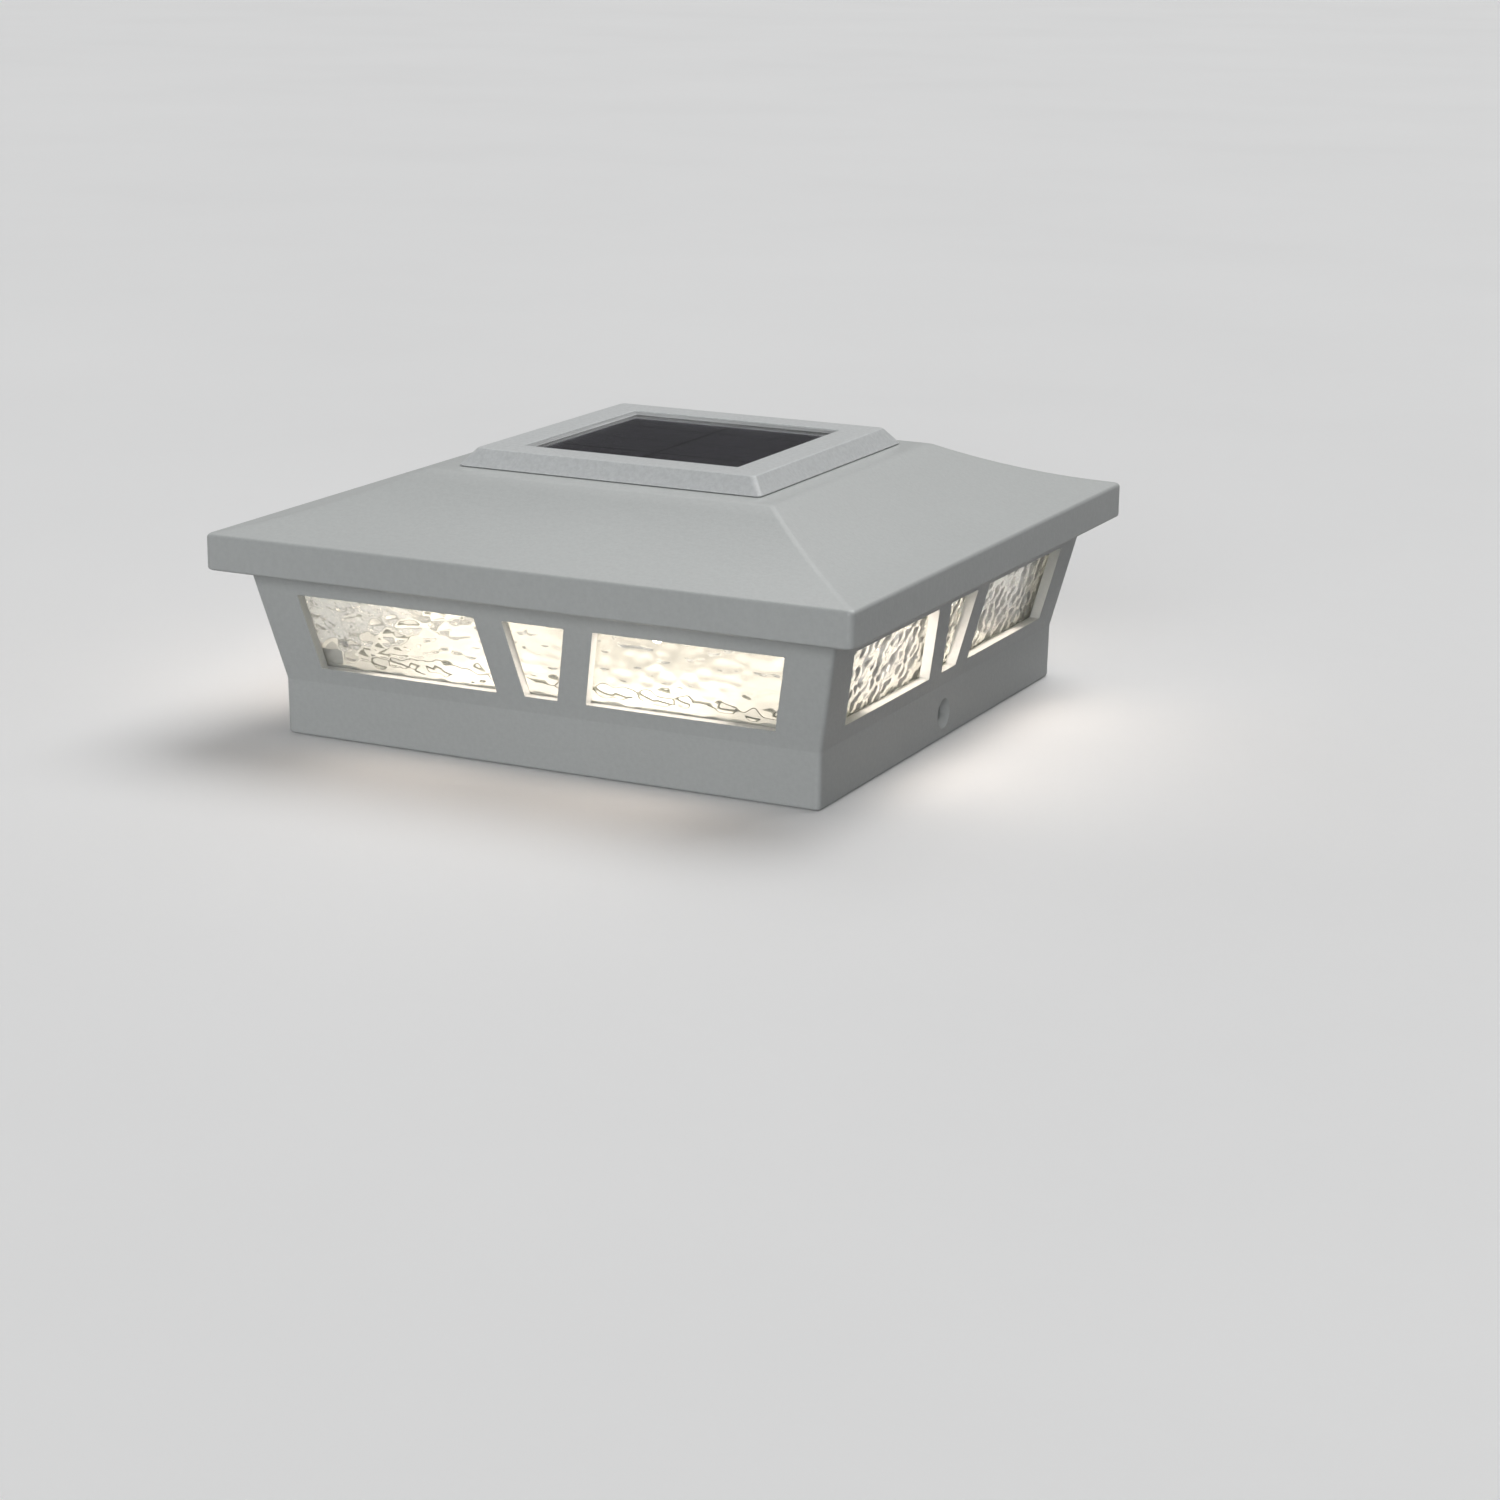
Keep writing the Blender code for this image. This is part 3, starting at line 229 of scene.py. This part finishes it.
def powder_coat(name, colour, sand, speckle):
    """Baked powder: orange peel under a sandy grain that is sand deep and tinted by speckle."""
    f = Finish(name, Coat_Weight=0.22, Coat_Roughness=0.22)
    pale = tuple(c * 1.03 for c in colour)
    deep = tuple(c * 0.72 for c in colour)
    broad = f.range(f.noise(0.045, 3.0), 0.3, 0.7)
    grain = f.noise(0.0013, 3.0, 0.65)
    tone = f.mix(broad, colour, pale)
    f.set("Base Color", f.mix(f.range(grain, 0.35, 0.65, 0.0, speckle), tone, deep))
    f.set("Roughness", f.range(f.noise(0.0007, 2.0), 0.3, 0.7, 0.42, 0.60))
    f.bump(f.noise(0.0040, 1.0), 0.00005)
    f.bump(grain, sand)
    return f.material


def clear_glass(name, tint, rough, clear):
    """Glass that bends light, with a trace of haze where it isn't quite clear."""
    f = Finish(name, Transmission_Weight=clear, IOR=1.5, Roughness=rough)
    f.set("Base Color", f.mix(f.noise(0.006), tint, tuple(c * 0.985 for c in tint)))
    f.bump(f.noise(0.0011, 2.0), 0.000006)
    return f.material


def glass_edge(name):
    """The ground edge of a pane, where the glass shows green."""
    f = Finish(name, Transmission_Weight=0.75, IOR=1.5, Roughness=0.30)
    f.set("Base Color", f.mix(f.range(f.noise(0.003), 0.3, 0.7), (0.80, 0.90, 0.66), (0.90, 0.95, 0.80)))
    f.bump(f.noise(0.0004, 3.0), 0.00002)
    return f.material


def silicon(name):
    """Dark cells with hair-fine collector lines."""
    f = Finish(name, Metallic=0.15)
    lines = f.math("FRACT", f.math("DIVIDE", f.axis("X"), 0.0012))
    line = f.math("LESS_THAN", lines, 0.08)
    grain = f.range(f.cells(0.004), 0.0, 0.9)
    body = f.mix(grain, (0.030, 0.026, 0.042), (0.044, 0.037, 0.056))
    f.set("Base Color", f.mix(f.math("MULTIPLY", line, 0.35), body, (0.11, 0.11, 0.13)))
    f.set("Roughness", f.range(f.noise(0.002), 0.3, 0.7, 0.32, 0.45))
    f.bump(line, 0.00001)
    return f.material


def moulded(name, colour, rough=0.45, grain=0.000012):
    """Injection-moulded plastic with a fine spark-eroded grain."""
    f = Finish(name)
    deep = tuple(c * 0.90 for c in colour)
    f.set("Base Color", f.mix(f.range(f.noise(0.012, 3.0), 0.3, 0.7), deep, colour))
    f.set("Roughness", f.range(f.noise(0.0009, 2.0), 0.3, 0.7, rough - 0.06, rough + 0.08))
    f.bump(f.noise(0.0005, 2.0), grain)
    return f.material


def plated(name, colour, rough):
    """Plated steel: cloudy plating and fine drawing marks."""
    f = Finish(name, Metallic=1.0)
    cloud = f.range(f.noise(0.0016, 3.0), 0.3, 0.7)
    f.set("Base Color", f.mix(cloud, tuple(c * 0.80 for c in colour), colour))
    f.set("Roughness", f.range(f.noise(0.0006, 3.0), 0.3, 0.7, rough - 0.08, rough + 0.14))
    f.bump(f.noise(0.0004, 2.0, place=f.stretched((1.0, 1.0, 0.2))), 0.000008)
    return f.material


def soft_black(name, size, depth):
    """Rubber or foam with an open, dusty grain."""
    f = Finish(name)
    pores = f.cells(size)
    f.set("Base Color", f.mix(f.range(pores, 0.0, 0.8), (0.012, 0.012, 0.012), (0.045, 0.044, 0.042)))
    f.set("Roughness", f.range(f.noise(0.002), 0.3, 0.7, 0.75, 0.95))
    f.bump(pores, depth)
    return f.material


def reflector_paint(name):
    """White enamel on sheet metal, with a slight roller texture."""
    f = Finish(name)
    f.set("Base Color", f.mix(f.range(f.noise(0.02, 3.0), 0.3, 0.7), (0.82, 0.815, 0.79), (0.88, 0.88, 0.86)))
    f.set("Roughness", f.range(f.noise(0.001), 0.3, 0.7, 0.34, 0.50))
    f.bump(f.noise(0.0022, 2.0), 0.00002)
    return f.material


def solder_mask(name, mask, track):
    """A circuit board: tracks under the mask and a fibre weave."""
    f = Finish(name)
    cell = f.node("ShaderNodeTexVoronoi", {"Vector": f.place, "Scale": 260.0},
                  feature="F1", distance="CHEBYCHEV").outputs["Distance"]
    tracks = f.math("LESS_THAN", f.math("ABSOLUTE", f.math("SUBTRACT", cell, 0.42)), 0.05)
    weave = f.math("MULTIPLY",
                   f.math("SINE", f.math("MULTIPLY", f.axis("X"), 9000.0)),
                   f.math("SINE", f.math("MULTIPLY", f.axis("Y"), 9000.0)))
    base = f.mix(f.range(weave, -1.0, 1.0, 0.0, 0.25), mask, tuple(c * 0.75 for c in mask))
    f.set("Base Color", f.mix(tracks, base, track))
    f.set("Roughness", f.range(f.noise(0.002), 0.3, 0.7, 0.28, 0.42))
    f.bump(tracks, 0.00003)
    f.bump(weave, 0.000004)
    return f.material


def lit_resin(name):
    """Warm resin lamp, brightest at its tip."""
    f = Finish(name, Base_Color=(1.0, 0.92, 0.74), Roughness=0.12)
    low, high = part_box("led_1")
    height = f.range(f.axis("Z"), low.z, high.z)
    f.set("Emission Color", f.mix(height, WARM, (1.0, 0.80, 0.55)))
    f.set("Emission Strength", f.range(height, 0.0, 1.0, 12.0, 2.0))
    return f.material


def battery_wrap(name):
    """Green shrink sleeve with a darker band, and bare metal at both ends."""
    low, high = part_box("battery_cell")
    f = Finish(name)
    x = f.axis("X")
    sleeve_end = high.x - 0.0013
    band_start, band_end = sleeve_end - 0.0130, sleeve_end - 0.0020
    bare = f.math("GREATER_THAN", x, sleeve_end)
    band = f.math("MULTIPLY", f.math("GREATER_THAN", x, band_start), f.math("LESS_THAN", x, band_end))
    scuff = f.range(f.noise(0.003, 4.0), 0.45, 0.75)
    green = f.mix(scuff, (0.03, 0.20, 0.10), (0.06, 0.27, 0.15))
    wrapped = f.mix(band, green, (0.015, 0.05, 0.03))
    f.set("Base Color", f.mix(bare, wrapped, (0.62, 0.62, 0.60)))
    f.set("Metallic", bare)
    f.set("Roughness", f.range(scuff, 0.0, 1.0, 0.26, 0.42))
    f.bump(f.noise(0.006, 2.0, place=f.stretched((0.3, 1.0, 1.0))), 0.00003)
    return f.material


def insulation(name, colour):
    """Soft PVC wire covering."""
    f = Finish(name)
    f.set("Base Color", f.mix(f.range(f.noise(0.004), 0.3, 0.7), tuple(c * 0.8 for c in colour), colour))
    f.set("Roughness", f.range(f.noise(0.001), 0.3, 0.7, 0.32, 0.48))
    f.bump(f.noise(0.0007), 0.00001)
    return f.material


def studio_floor(name):
    """Pale, matte paper with the least trace of tooth, and a little light of its own."""
    f = Finish(name, Emission_Color=(1.0, 1.0, 1.0), Emission_Strength=0.06)
    f.set("Base Color", f.mix(f.range(f.noise(0.25, 3.0), 0.3, 0.7), (0.86, 0.86, 0.86), (0.89, 0.89, 0.89)))
    f.set("Roughness", f.range(f.noise(0.01, 2.0), 0.3, 0.7, 0.75, 0.90))
    f.bump(f.noise(0.003, 2.0), 0.00005)
    return f.material


FINISHES = {
    "powder_coat": powder_coat("powder_coat_paint", (0.63, 0.65, 0.64), 0.000080, 0.16),
    "bezel_paint": powder_coat("bezel_coat", (0.79, 0.81, 0.81), 0.000150, 0.36),
    "hammered_glass": clear_glass("hammered_glass", (0.975, 0.98, 0.96), 0.03, 0.82),
    "glass_edge": glass_edge("glass_edge"),
    "panel_glazing": clear_glass("panel_resin", (0.93, 0.92, 0.95), 0.07, 1.0),
    "silicon": silicon("cell_silicon"),
    "foam": soft_black("gasket_foam", 0.0007, 0.00020),
    "white_reflector": reflector_paint("reflector_enamel"),
    "white_plastic": moulded("tray_plastic", (0.80, 0.80, 0.78)),
    "grey_plastic": moulded("knob_plastic", (0.30, 0.31, 0.32)),
    "black_plastic": moulded("housing_plastic", (0.025, 0.025, 0.027), 0.40),
    "circuit_green": solder_mask("mask_green", (0.012, 0.13, 0.05), (0.03, 0.22, 0.09)),
    "circuit_white": solder_mask("mask_white", (0.78, 0.78, 0.75), (0.70, 0.70, 0.68)),
    "lamp_resin": lit_resin("lamp_lens"),
    "zinc_steel": plated("zinc_plate", (0.64, 0.65, 0.67), 0.30),
    "nickel": plated("nickel_plate", (0.68, 0.64, 0.58), 0.24),
    "battery_sleeve": battery_wrap("battery_wrap"),
    "seal_foam": moulded("seal_foam", (0.20, 0.20, 0.15), 0.80, 0.00008),
    "sealant": moulded("sealant", (0.68, 0.69, 0.69), 0.50),
    "rubber": soft_black("pad_rubber", 0.0004, 0.00004),
    "red_wire": insulation("insulation_red", (0.55, 0.03, 0.02)),
    "black_wire": insulation("insulation_black", (0.02, 0.02, 0.02)),
}


# ---------------------------------------------------------------- CAD nodes that stay

def smooth_shading():
    """A node group that shades every face smooth."""
    group = bpy.data.node_groups.new("smooth_shading", "GeometryNodeTree")
    for way in ("INPUT", "OUTPUT"):
        group.interface.new_socket("Geometry", in_out=way, socket_type="NodeSocketGeometry")
    start = group.nodes.new("NodeGroupInput")
    smooth = group.nodes.new("GeometryNodeSetShadeSmooth")
    end = group.nodes.new("NodeGroupOutput")
    group.links.new(start.outputs[0], smooth.inputs["Geometry"])
    group.links.new(smooth.outputs[0], end.inputs[0])
    return group


SMOOTH = smooth_shading()


def dress(node, finish, edge):
    """Gives a CAD node its finish, and rounds its sharp edges by this many metres."""
    obj = NODES[node]
    obj.data.materials.clear()
    obj.data.materials.append(FINISHES[finish])
    weld = obj.modifiers.new("Weld", "WELD")
    weld.merge_threshold = MERGE
    smooth = obj.modifiers.new("Smooth", "NODES")
    smooth.node_group = SMOOTH
    flat = obj.modifiers.new("Flat", "DECIMATE")
    flat.decimate_type = "DISSOLVE"
    flat.angle_limit = math.radians(0.3)
    if edge:
        bevel = obj.modifiers.new("Edges", "BEVEL")
        bevel.width = edge
        bevel.segments = 2
        bevel.limit_method = "ANGLE"
        bevel.angle_limit = math.radians(35)
    normals = obj.modifiers.new("Normals", "WEIGHTED_NORMAL")
    normals.keep_sharp = False


EDGES = {
    "base_shell": 0.00035, "roof_cover": 0.00040, "solar_bezel": 0.00060, "light_tray": 0.00020,
    "reflector_floor": 0.00020, "battery_door": 0.00020, "led_board": 0.00015,
    "circuit_board": 0.00010, "switch_body": 0.00015, "switch_slider": 0.00020,
    "solar_glass": 0.00015, "solar_backboard": 0.00010, "contact_plate": 0.00010,
}
SMALL_EDGE = 0.00008
ROUND_NODES = ("lead", "spring")        # words in the names of nodes that keep their round edges
FINISH_OF = {"solar_backboard": "black_plastic"}      # nodes whose finish isn't named by their slot


def dress_all(replaced):
    """Finishes every CAD node that stays, by the record's own slots."""
    for row in frame["record"]["subparts"]:
        node = row["node"]
        if node in replaced:
            continue
        is_round = any(word in node for word in ROUND_NODES)
        edge = 0 if is_round else EDGES.get(node, SMALL_EDGE)
        dress(node, FINISH_OF.get(node, row["material_slot"]), edge)


# ---------------------------------------------------------------- meshes of new pieces

def new_piece(name, bm, finishes, body, replaces=()):
    """Links the mesh as a piece that rides on the body."""
    mesh = bpy.data.meshes.new(name)
    bm.to_mesh(mesh)
    bm.free()
    for finish in finishes:
        mesh.materials.append(FINISHES[finish])
    obj = bpy.data.objects.new(name, mesh)
    bpy.context.scene.collection.objects.link(obj)
    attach(obj, body)
    if replaces:
        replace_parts(obj, *replaces)
    return obj


def corner_points(node, turn):
    """The eight corners of a pane node, turned to the front and sorted."""
    found = {tuple(round(c, 6) for c in turn @ v.co) for v in NODES[node].data.vertices}
    low_z, high_z = min(p[2] for p in found), max(p[2] for p in found)
    points = {}
    for level, z in (("low", low_z), ("high", high_z)):
        ring = sorted((p for p in found if abs(p[2] - z) < 0.0001), key=lambda p: p[1])
        points["outer", level] = sorted(ring[:2])
        points["inner", level] = sorted(ring[2:])
    return {key: [Vector(p) for p in pair] for key, pair in points.items()}


def pressed_depth(across, up, seed):
    """How far the pressed pattern lies under the pane's face: domes on long waves."""
    cell = Vector((across / DOME_WIDE, up / DOME_HIGH, seed))
    cell.x += DOME_SWAY * noise.noise(Vector((across / WAVE_LENGTH, up / WAVE_LENGTH, seed + 7)))
    nearest = noise.voronoi(cell)[0][0]
    bowl = min(1.0, nearest ** 2 / DOME_ROUND)
    place = Vector((across / WAVE_LENGTH, up / WAVE_LENGTH * WAVE_SQUASH, seed + 3))
    wave = 0.5 + 0.5 * noise.noise(place)
    ripple = 0.5 + 0.5 * noise.noise(Vector((across, up, 0)) / RIPPLE_LENGTH)
    return DOME_DEPTH * bowl + WAVE_DEPTH * (1 - wave) + RIPPLE_DEPTH * (1 - ripple)


def add_pane(side, number):
    """A hammered pane: its outer face is pressed, its inner face and ground edges are flat."""
    node = "glass_pane_" + side
    points = corner_points(node, QUARTERS[number].inverted())
    outer_low, outer_high = points["outer", "low"], points["outer", "high"]
    width = (outer_high[1] - outer_high[0]).length
    height = (outer_high[0] - outer_low[0]).length
    columns, rows = round(width / PANE_STEP), round(height / PANE_STEP)
    inward = (outer_high[0] - outer_low[0]).cross(Vector((1, 0, 0))).normalized()
    bm = bmesh.new()
    grid = []
    for row in range(rows + 1):
        left, right = (outer_low[k].lerp(outer_high[k], row / rows) for k in (0, 1))
        line = []
        for column in range(columns + 1):
            point = left.lerp(right, column / columns)
            rim = min(row, rows - row, column, columns - column) * PANE_STEP / PANE_BORDER
            fade = min(1.0, rim) ** 2 * (3 - 2 * min(1.0, rim))
            depth = fade * pressed_depth(point.x, point.z, 11.0 * number)
            line.append(bm.verts.new(point + inward * depth))
        grid.append(line)
    for low, high in zip(grid, grid[1:]):
        for a, b, c, d in zip(low, low[1:], high[1:], high):
            bm.faces.new((a, b, c, d)).smooth = True
    back = [bm.verts.new(p) for p in (*points["inner", "low"], *reversed(points["inner", "high"]))]
    edges = [
        [line[0] for line in reversed(grid)] + [back[0], back[3]],
        grid[0][::-1] + [back[0], back[1]],
        [line[-1] for line in grid] + [back[2], back[1]],
        grid[-1] + [back[2], back[3]]]
    bm.faces.new(back)
    for index, loop in enumerate(edges):
        bm.faces.new(loop).material_index = 1
    bmesh.ops.recalc_face_normals(bm, faces=bm.faces)
    bmesh.ops.transform(bm, matrix=QUARTERS[number], verts=bm.verts)
    return new_piece("hammered_pane_" + side, bm, ("hammered_glass", "glass_edge"), "base",
                     [node])


def revolve(bm, profile, centre, sides):
    """Adds a closed turned body: (radius, z) points from the bottom of the axis to its top."""
    rings = []
    for radius, z in profile:
        if radius == 0:
            rings.append([bm.verts.new((centre.x, centre.y, z))])
            continue
        rings.append([bm.verts.new((
            centre.x + radius * math.cos(2 * math.pi * k / sides),
            centre.y + radius * math.sin(2 * math.pi * k / sides), z)) for k in range(sides)])
    for low, high in zip(rings, rings[1:]):
        for k in range(sides):
            after = (k + 1) % sides
            if len(low) == 1:
                corners = (low[0], high[after], high[k])
            elif len(high) == 1:
                corners = (low[k], low[after], high[0])
            else:
                corners = (low[k], low[after], high[after], high[k])
            bm.faces.new(corners).smooth = True


def add_lamp(number):
    """A lamp with a rounded lens and a rim."""
    node = f"led_{number}"
    low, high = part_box(node)
    centre = (low + high) / 2
    rim = (high.x - low.x) / 2
    radius = rim - LAMP_RIM
    rim_low = high.z - LAMP_RIM_HIGH
    start = low.z + radius
    turns = [math.radians(90) * k / LENS_STEPS for k in range(1, LENS_STEPS)]
    dome = [(radius * math.sin(turn), start - radius * math.cos(turn)) for turn in turns]
    profile = [(0, low.z), *dome, (radius, start), (radius, rim_low - LAMP_EDGE),
               (radius + LAMP_EDGE, rim_low), (rim - LAMP_EDGE, rim_low), (rim, rim_low + LAMP_EDGE),
               (rim, high.z - LAMP_EDGE), (rim - LAMP_EDGE, high.z), (0, high.z)]
    bm = bmesh.new()
    revolve(bm, profile, centre, LAMP_SIDES)
    return new_piece(f"lamp_{number}", bm, ("lamp_resin",), "roof", [node])


def add_box(bm, low, high, bevel):
    """Adds a box with rounded edges."""
    low, high = Vector(low), Vector(high)
    made = bmesh.ops.create_cube(bm, size=1.0)["verts"]
    for vert in made:
        vert.co = (low + high) / 2 + Vector(a * b for a, b in zip(vert.co, high - low))
    edges = {edge for vert in made for edge in vert.link_edges}
    bmesh.ops.bevel(bm, geom=list(edges), offset=bevel, segments=2, affect="EDGES")


def add_cell(number):
    """Two silicon strips in place of one cell, with the dark line between them."""
    node = f"solar_cell_{number}"
    low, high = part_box(node)
    middle = (low.y + high.y) / 2
    bm = bmesh.new()
    add_box(bm, low, (high.x, middle - STRIP_GAP, high.z), STRIP_EDGE)
    add_box(bm, (low.x, middle + STRIP_GAP, low.z), high, STRIP_EDGE)
    return new_piece(f"silicon_strips_{number}", bm, ("silicon",), "roof", [node])


def add_square_ring(bm, profile):
    """Adds a square ring whose section is the closed line of (half size, z) points."""
    rings = [[bm.verts.new((x * half, y * half, z)) for x, y in ((1, 1), (-1, 1), (-1, -1), (1, -1))]
             for half, z in profile]
    faces = []
    for ring, after in zip(rings, rings[1:] + rings[:1]):
        for k in range(4):
            n = (k + 1) % 4
            faces.append(bm.faces.new((ring[k], ring[n], after[n], after[k])))
    bmesh.ops.recalc_face_normals(bm, faces=faces)
    return faces


def add_floor_seal():
    """A foam strip on the reflector that seals it round the post's top."""
    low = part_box("reflector_floor")[1].z
    high = low + SEAL_THICK
    inner = SEAL_HALF - SEAL_WIDTH
    bm = bmesh.new()
    faces = add_square_ring(bm, [(SEAL_HALF, low), (SEAL_HALF, high), (inner, high), (inner, low)])
    edges = {edge for face in faces for edge in face.edges}
    bmesh.ops.bevel(bm, geom=list(edges), offset=SEAL_EDGE, segments=2, affect="EDGES")
    return new_piece("floor_seal", bm, ("seal_foam",), "base")


def add_glazing_bead():
    """The bead of sealant that fills the corner between the bezel's opening and the glass."""
    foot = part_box("solar_glass")[1].z
    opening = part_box("solar_cell_1")[1].x - CELL_COVER
    profile = [(opening + BEAD_UNDER, foot), (opening - BEAD_WIDTH, foot)]
    for step in range(1, BEAD_STEPS):
        angle = math.radians(90) * step / BEAD_STEPS
        profile.append((opening - BEAD_WIDTH * (1 - math.sin(angle)),
                        foot + BEAD_HIGH * (1 - math.cos(angle))))
    profile += [(opening, foot + BEAD_HIGH), (opening + BEAD_FOOT, foot + BEAD_FOOT),
                (opening + BEAD_UNDER, foot + BEAD_FOOT)]
    bm = bmesh.new()
    for face in add_square_ring(bm, profile):
        face.smooth = True
    return new_piece("glazing_bead", bm, ("sealant",), "roof")


# ---------------------------------------------------------------- studio

def add_camera():
    """The camera, from its place and its angles."""
    azimuth, elevation, roll = map(
        math.radians, (CAMERA_AZIMUTH, CAMERA_ELEVATION, CAMERA_ROLL))
    back = Vector((math.sin(azimuth) * math.cos(elevation),
                   -math.cos(azimuth) * math.cos(elevation), math.sin(elevation)))
    right = Vector((0, 0, 1)).cross(back).normalized()
    up = back.cross(right)
    columns = (right * math.cos(roll) + up * math.sin(roll),
               up * math.cos(roll) - right * math.sin(roll), back)
    camera = bpy.data.objects.new("camera", bpy.data.cameras.new("camera"))
    camera.data.lens = CAMERA_LENS
    camera.data.sensor_width = CAMERA_SENSOR
    camera.matrix_world = Matrix.Translation(CAMERA_PLACE) @ Matrix(columns).transposed().to_4x4()
    bpy.context.scene.collection.objects.link(camera)
    bpy.context.scene.camera = camera


def add_soft_light(name, azimuth, elevation, strength, colour=(1.0, 1.0, 1.0)):
    """A far, wide light, placed by angles in degrees. Azimuth 0 is in front and 90 on the right."""
    a, e = math.radians(azimuth), math.radians(elevation)
    back = Vector((math.sin(a) * math.cos(e), -math.cos(a) * math.cos(e), math.sin(e)))
    light = bpy.data.lights.new(name, "SUN")
    light.angle = math.radians(SOFT_SPREAD)
    light.energy = strength
    light.color = colour
    obj = bpy.data.objects.new(name, light)
    obj.rotation_euler = (-back).to_track_quat("-Z", "Y").to_euler()
    bpy.context.scene.collection.objects.link(obj)


def add_lamp_light(number):
    """The light that a lamp gives, from a small ball just under its tip."""
    low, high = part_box(f"led_{number}")
    light = bpy.data.lights.new(f"lamp_light_{number}", "POINT")
    light.energy = LAMP_WATTS * LAMP_SHARES[number - 1]
    light.color = WARM
    light.shadow_soft_size = LAMP_TIP_RADIUS
    light.cycles.use_multiple_importance_sampling = False
    obj = bpy.data.objects.new(light.name, light)
    obj.location = ((low.x + high.x) / 2, (low.y + high.y) / 2, low.z - LAMP_TIP_GAP)
    obj.visible_camera = False
    obj.visible_transmission = False
    obj.visible_glossy = False
    bpy.context.scene.collection.objects.link(obj)
    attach(obj, "roof")


def add_window_glow(side, number, middle, width):
    """The lit glass's light on one window's own jambs and sill: a panel just outside the pane."""
    points = corner_points("glass_pane_" + side, QUARTERS[number].inverted())
    low, high = points["outer", "low"][0], points["outer", "high"][0]
    up = Vector((0, high.y - low.y, high.z - low.z)).normalized()
    out = Vector((1, 0, 0)).cross(up)
    sill = Vector((middle, low.y, low.z)) + up * (GLOW_SILL - low.z)
    light = bpy.data.lights.new(f"window_glow_{side}_{round(1000 * middle)}", "AREA")
    light.shape = "RECTANGLE"
    light.size = width
    light.size_y = GLOW_HEIGHT
    light.energy = GLOW_EXITANCE * width * GLOW_HEIGHT
    light.color = GLOW_COLOUR
    obj = bpy.data.objects.new(light.name, light)
    obj.matrix_world = QUARTERS[number] @ (
        Matrix.Translation(sill + up * GLOW_HEIGHT / 2 + out * GLOW_GAP)
        @ out.to_track_quat("-Z", "Y").to_matrix().to_4x4())
    obj.visible_camera = False
    obj.visible_glossy = False
    obj.visible_transmission = False
    bpy.context.scene.collection.objects.link(obj)
    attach(obj, "base")


def add_world():
    """A faint, even sky."""
    world = bpy.data.worlds.new("studio")
    world.use_nodes = True
    tree = world.node_tree
    place = tree.nodes.new("ShaderNodeTexCoord").outputs["Generated"]
    split = tree.nodes.new("ShaderNodeSeparateXYZ")
    ramp = tree.nodes.new("ShaderNodeMapRange")
    tree.links.new(place, split.inputs[0])
    tree.links.new(split.outputs["Z"], ramp.inputs["Value"])
    ramp.inputs["To Min"].default_value = SKY_LOW
    ramp.inputs["To Max"].default_value = SKY_HIGH
    background = tree.nodes["Background"]
    background.inputs["Color"].default_value = (0.96, 0.98, 1.0, 1.0)
    tree.links.new(ramp.outputs[0], background.inputs["Strength"])
    bpy.context.scene.world = world


def add_floor():
    """A wide floor under the cap. It is seen and mirrored, but throws no diffuse light on the cap."""
    bm = bmesh.new()
    bmesh.ops.create_grid(bm, x_segments=8, y_segments=8, size=FLOOR_HALF)
    mesh = bpy.data.meshes.new("floor")
    bm.to_mesh(mesh)
    bm.free()
    mesh.materials.append(studio_floor("studio_floor"))
    floor = bpy.data.objects.new("floor", mesh)
    floor.location.z = CAD_LOW.z - FLOOR_GAP
    floor.visible_diffuse = False
    bpy.context.scene.collection.objects.link(floor)


def add_studio():
    add_camera()
    add_world()
    add_floor()
    add_soft_light("front_light", 10, 14, 1.41, (0.98, 0.99, 1.0))
    add_soft_light("top_light", 156, 60, 1.45)
    add_soft_light("back_light", 196, 46, 0.48, (1.0, 1.0, 0.99))
    add_soft_light("rear_light", 250, 14, 0.35)
    for number in range(1, 9):
        add_lamp_light(number)
    for number, side in enumerate(SIDES):
        for middle, width in GLOW_WINDOWS:
            add_window_glow(side, number, middle, width)
    bpy.context.scene.view_settings.view_transform = "Standard"


def main():
    add_studio()
    for number, side in enumerate(SIDES):
        add_pane(side, number)
    for number in range(1, 9):
        add_lamp(number)
    for number in range(1, 5):
        add_cell(number)
    add_floor_seal()
    add_glazing_bead()
    dress_all({node for obj in bpy.context.scene.objects for node in obj.get("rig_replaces", [])})


main()
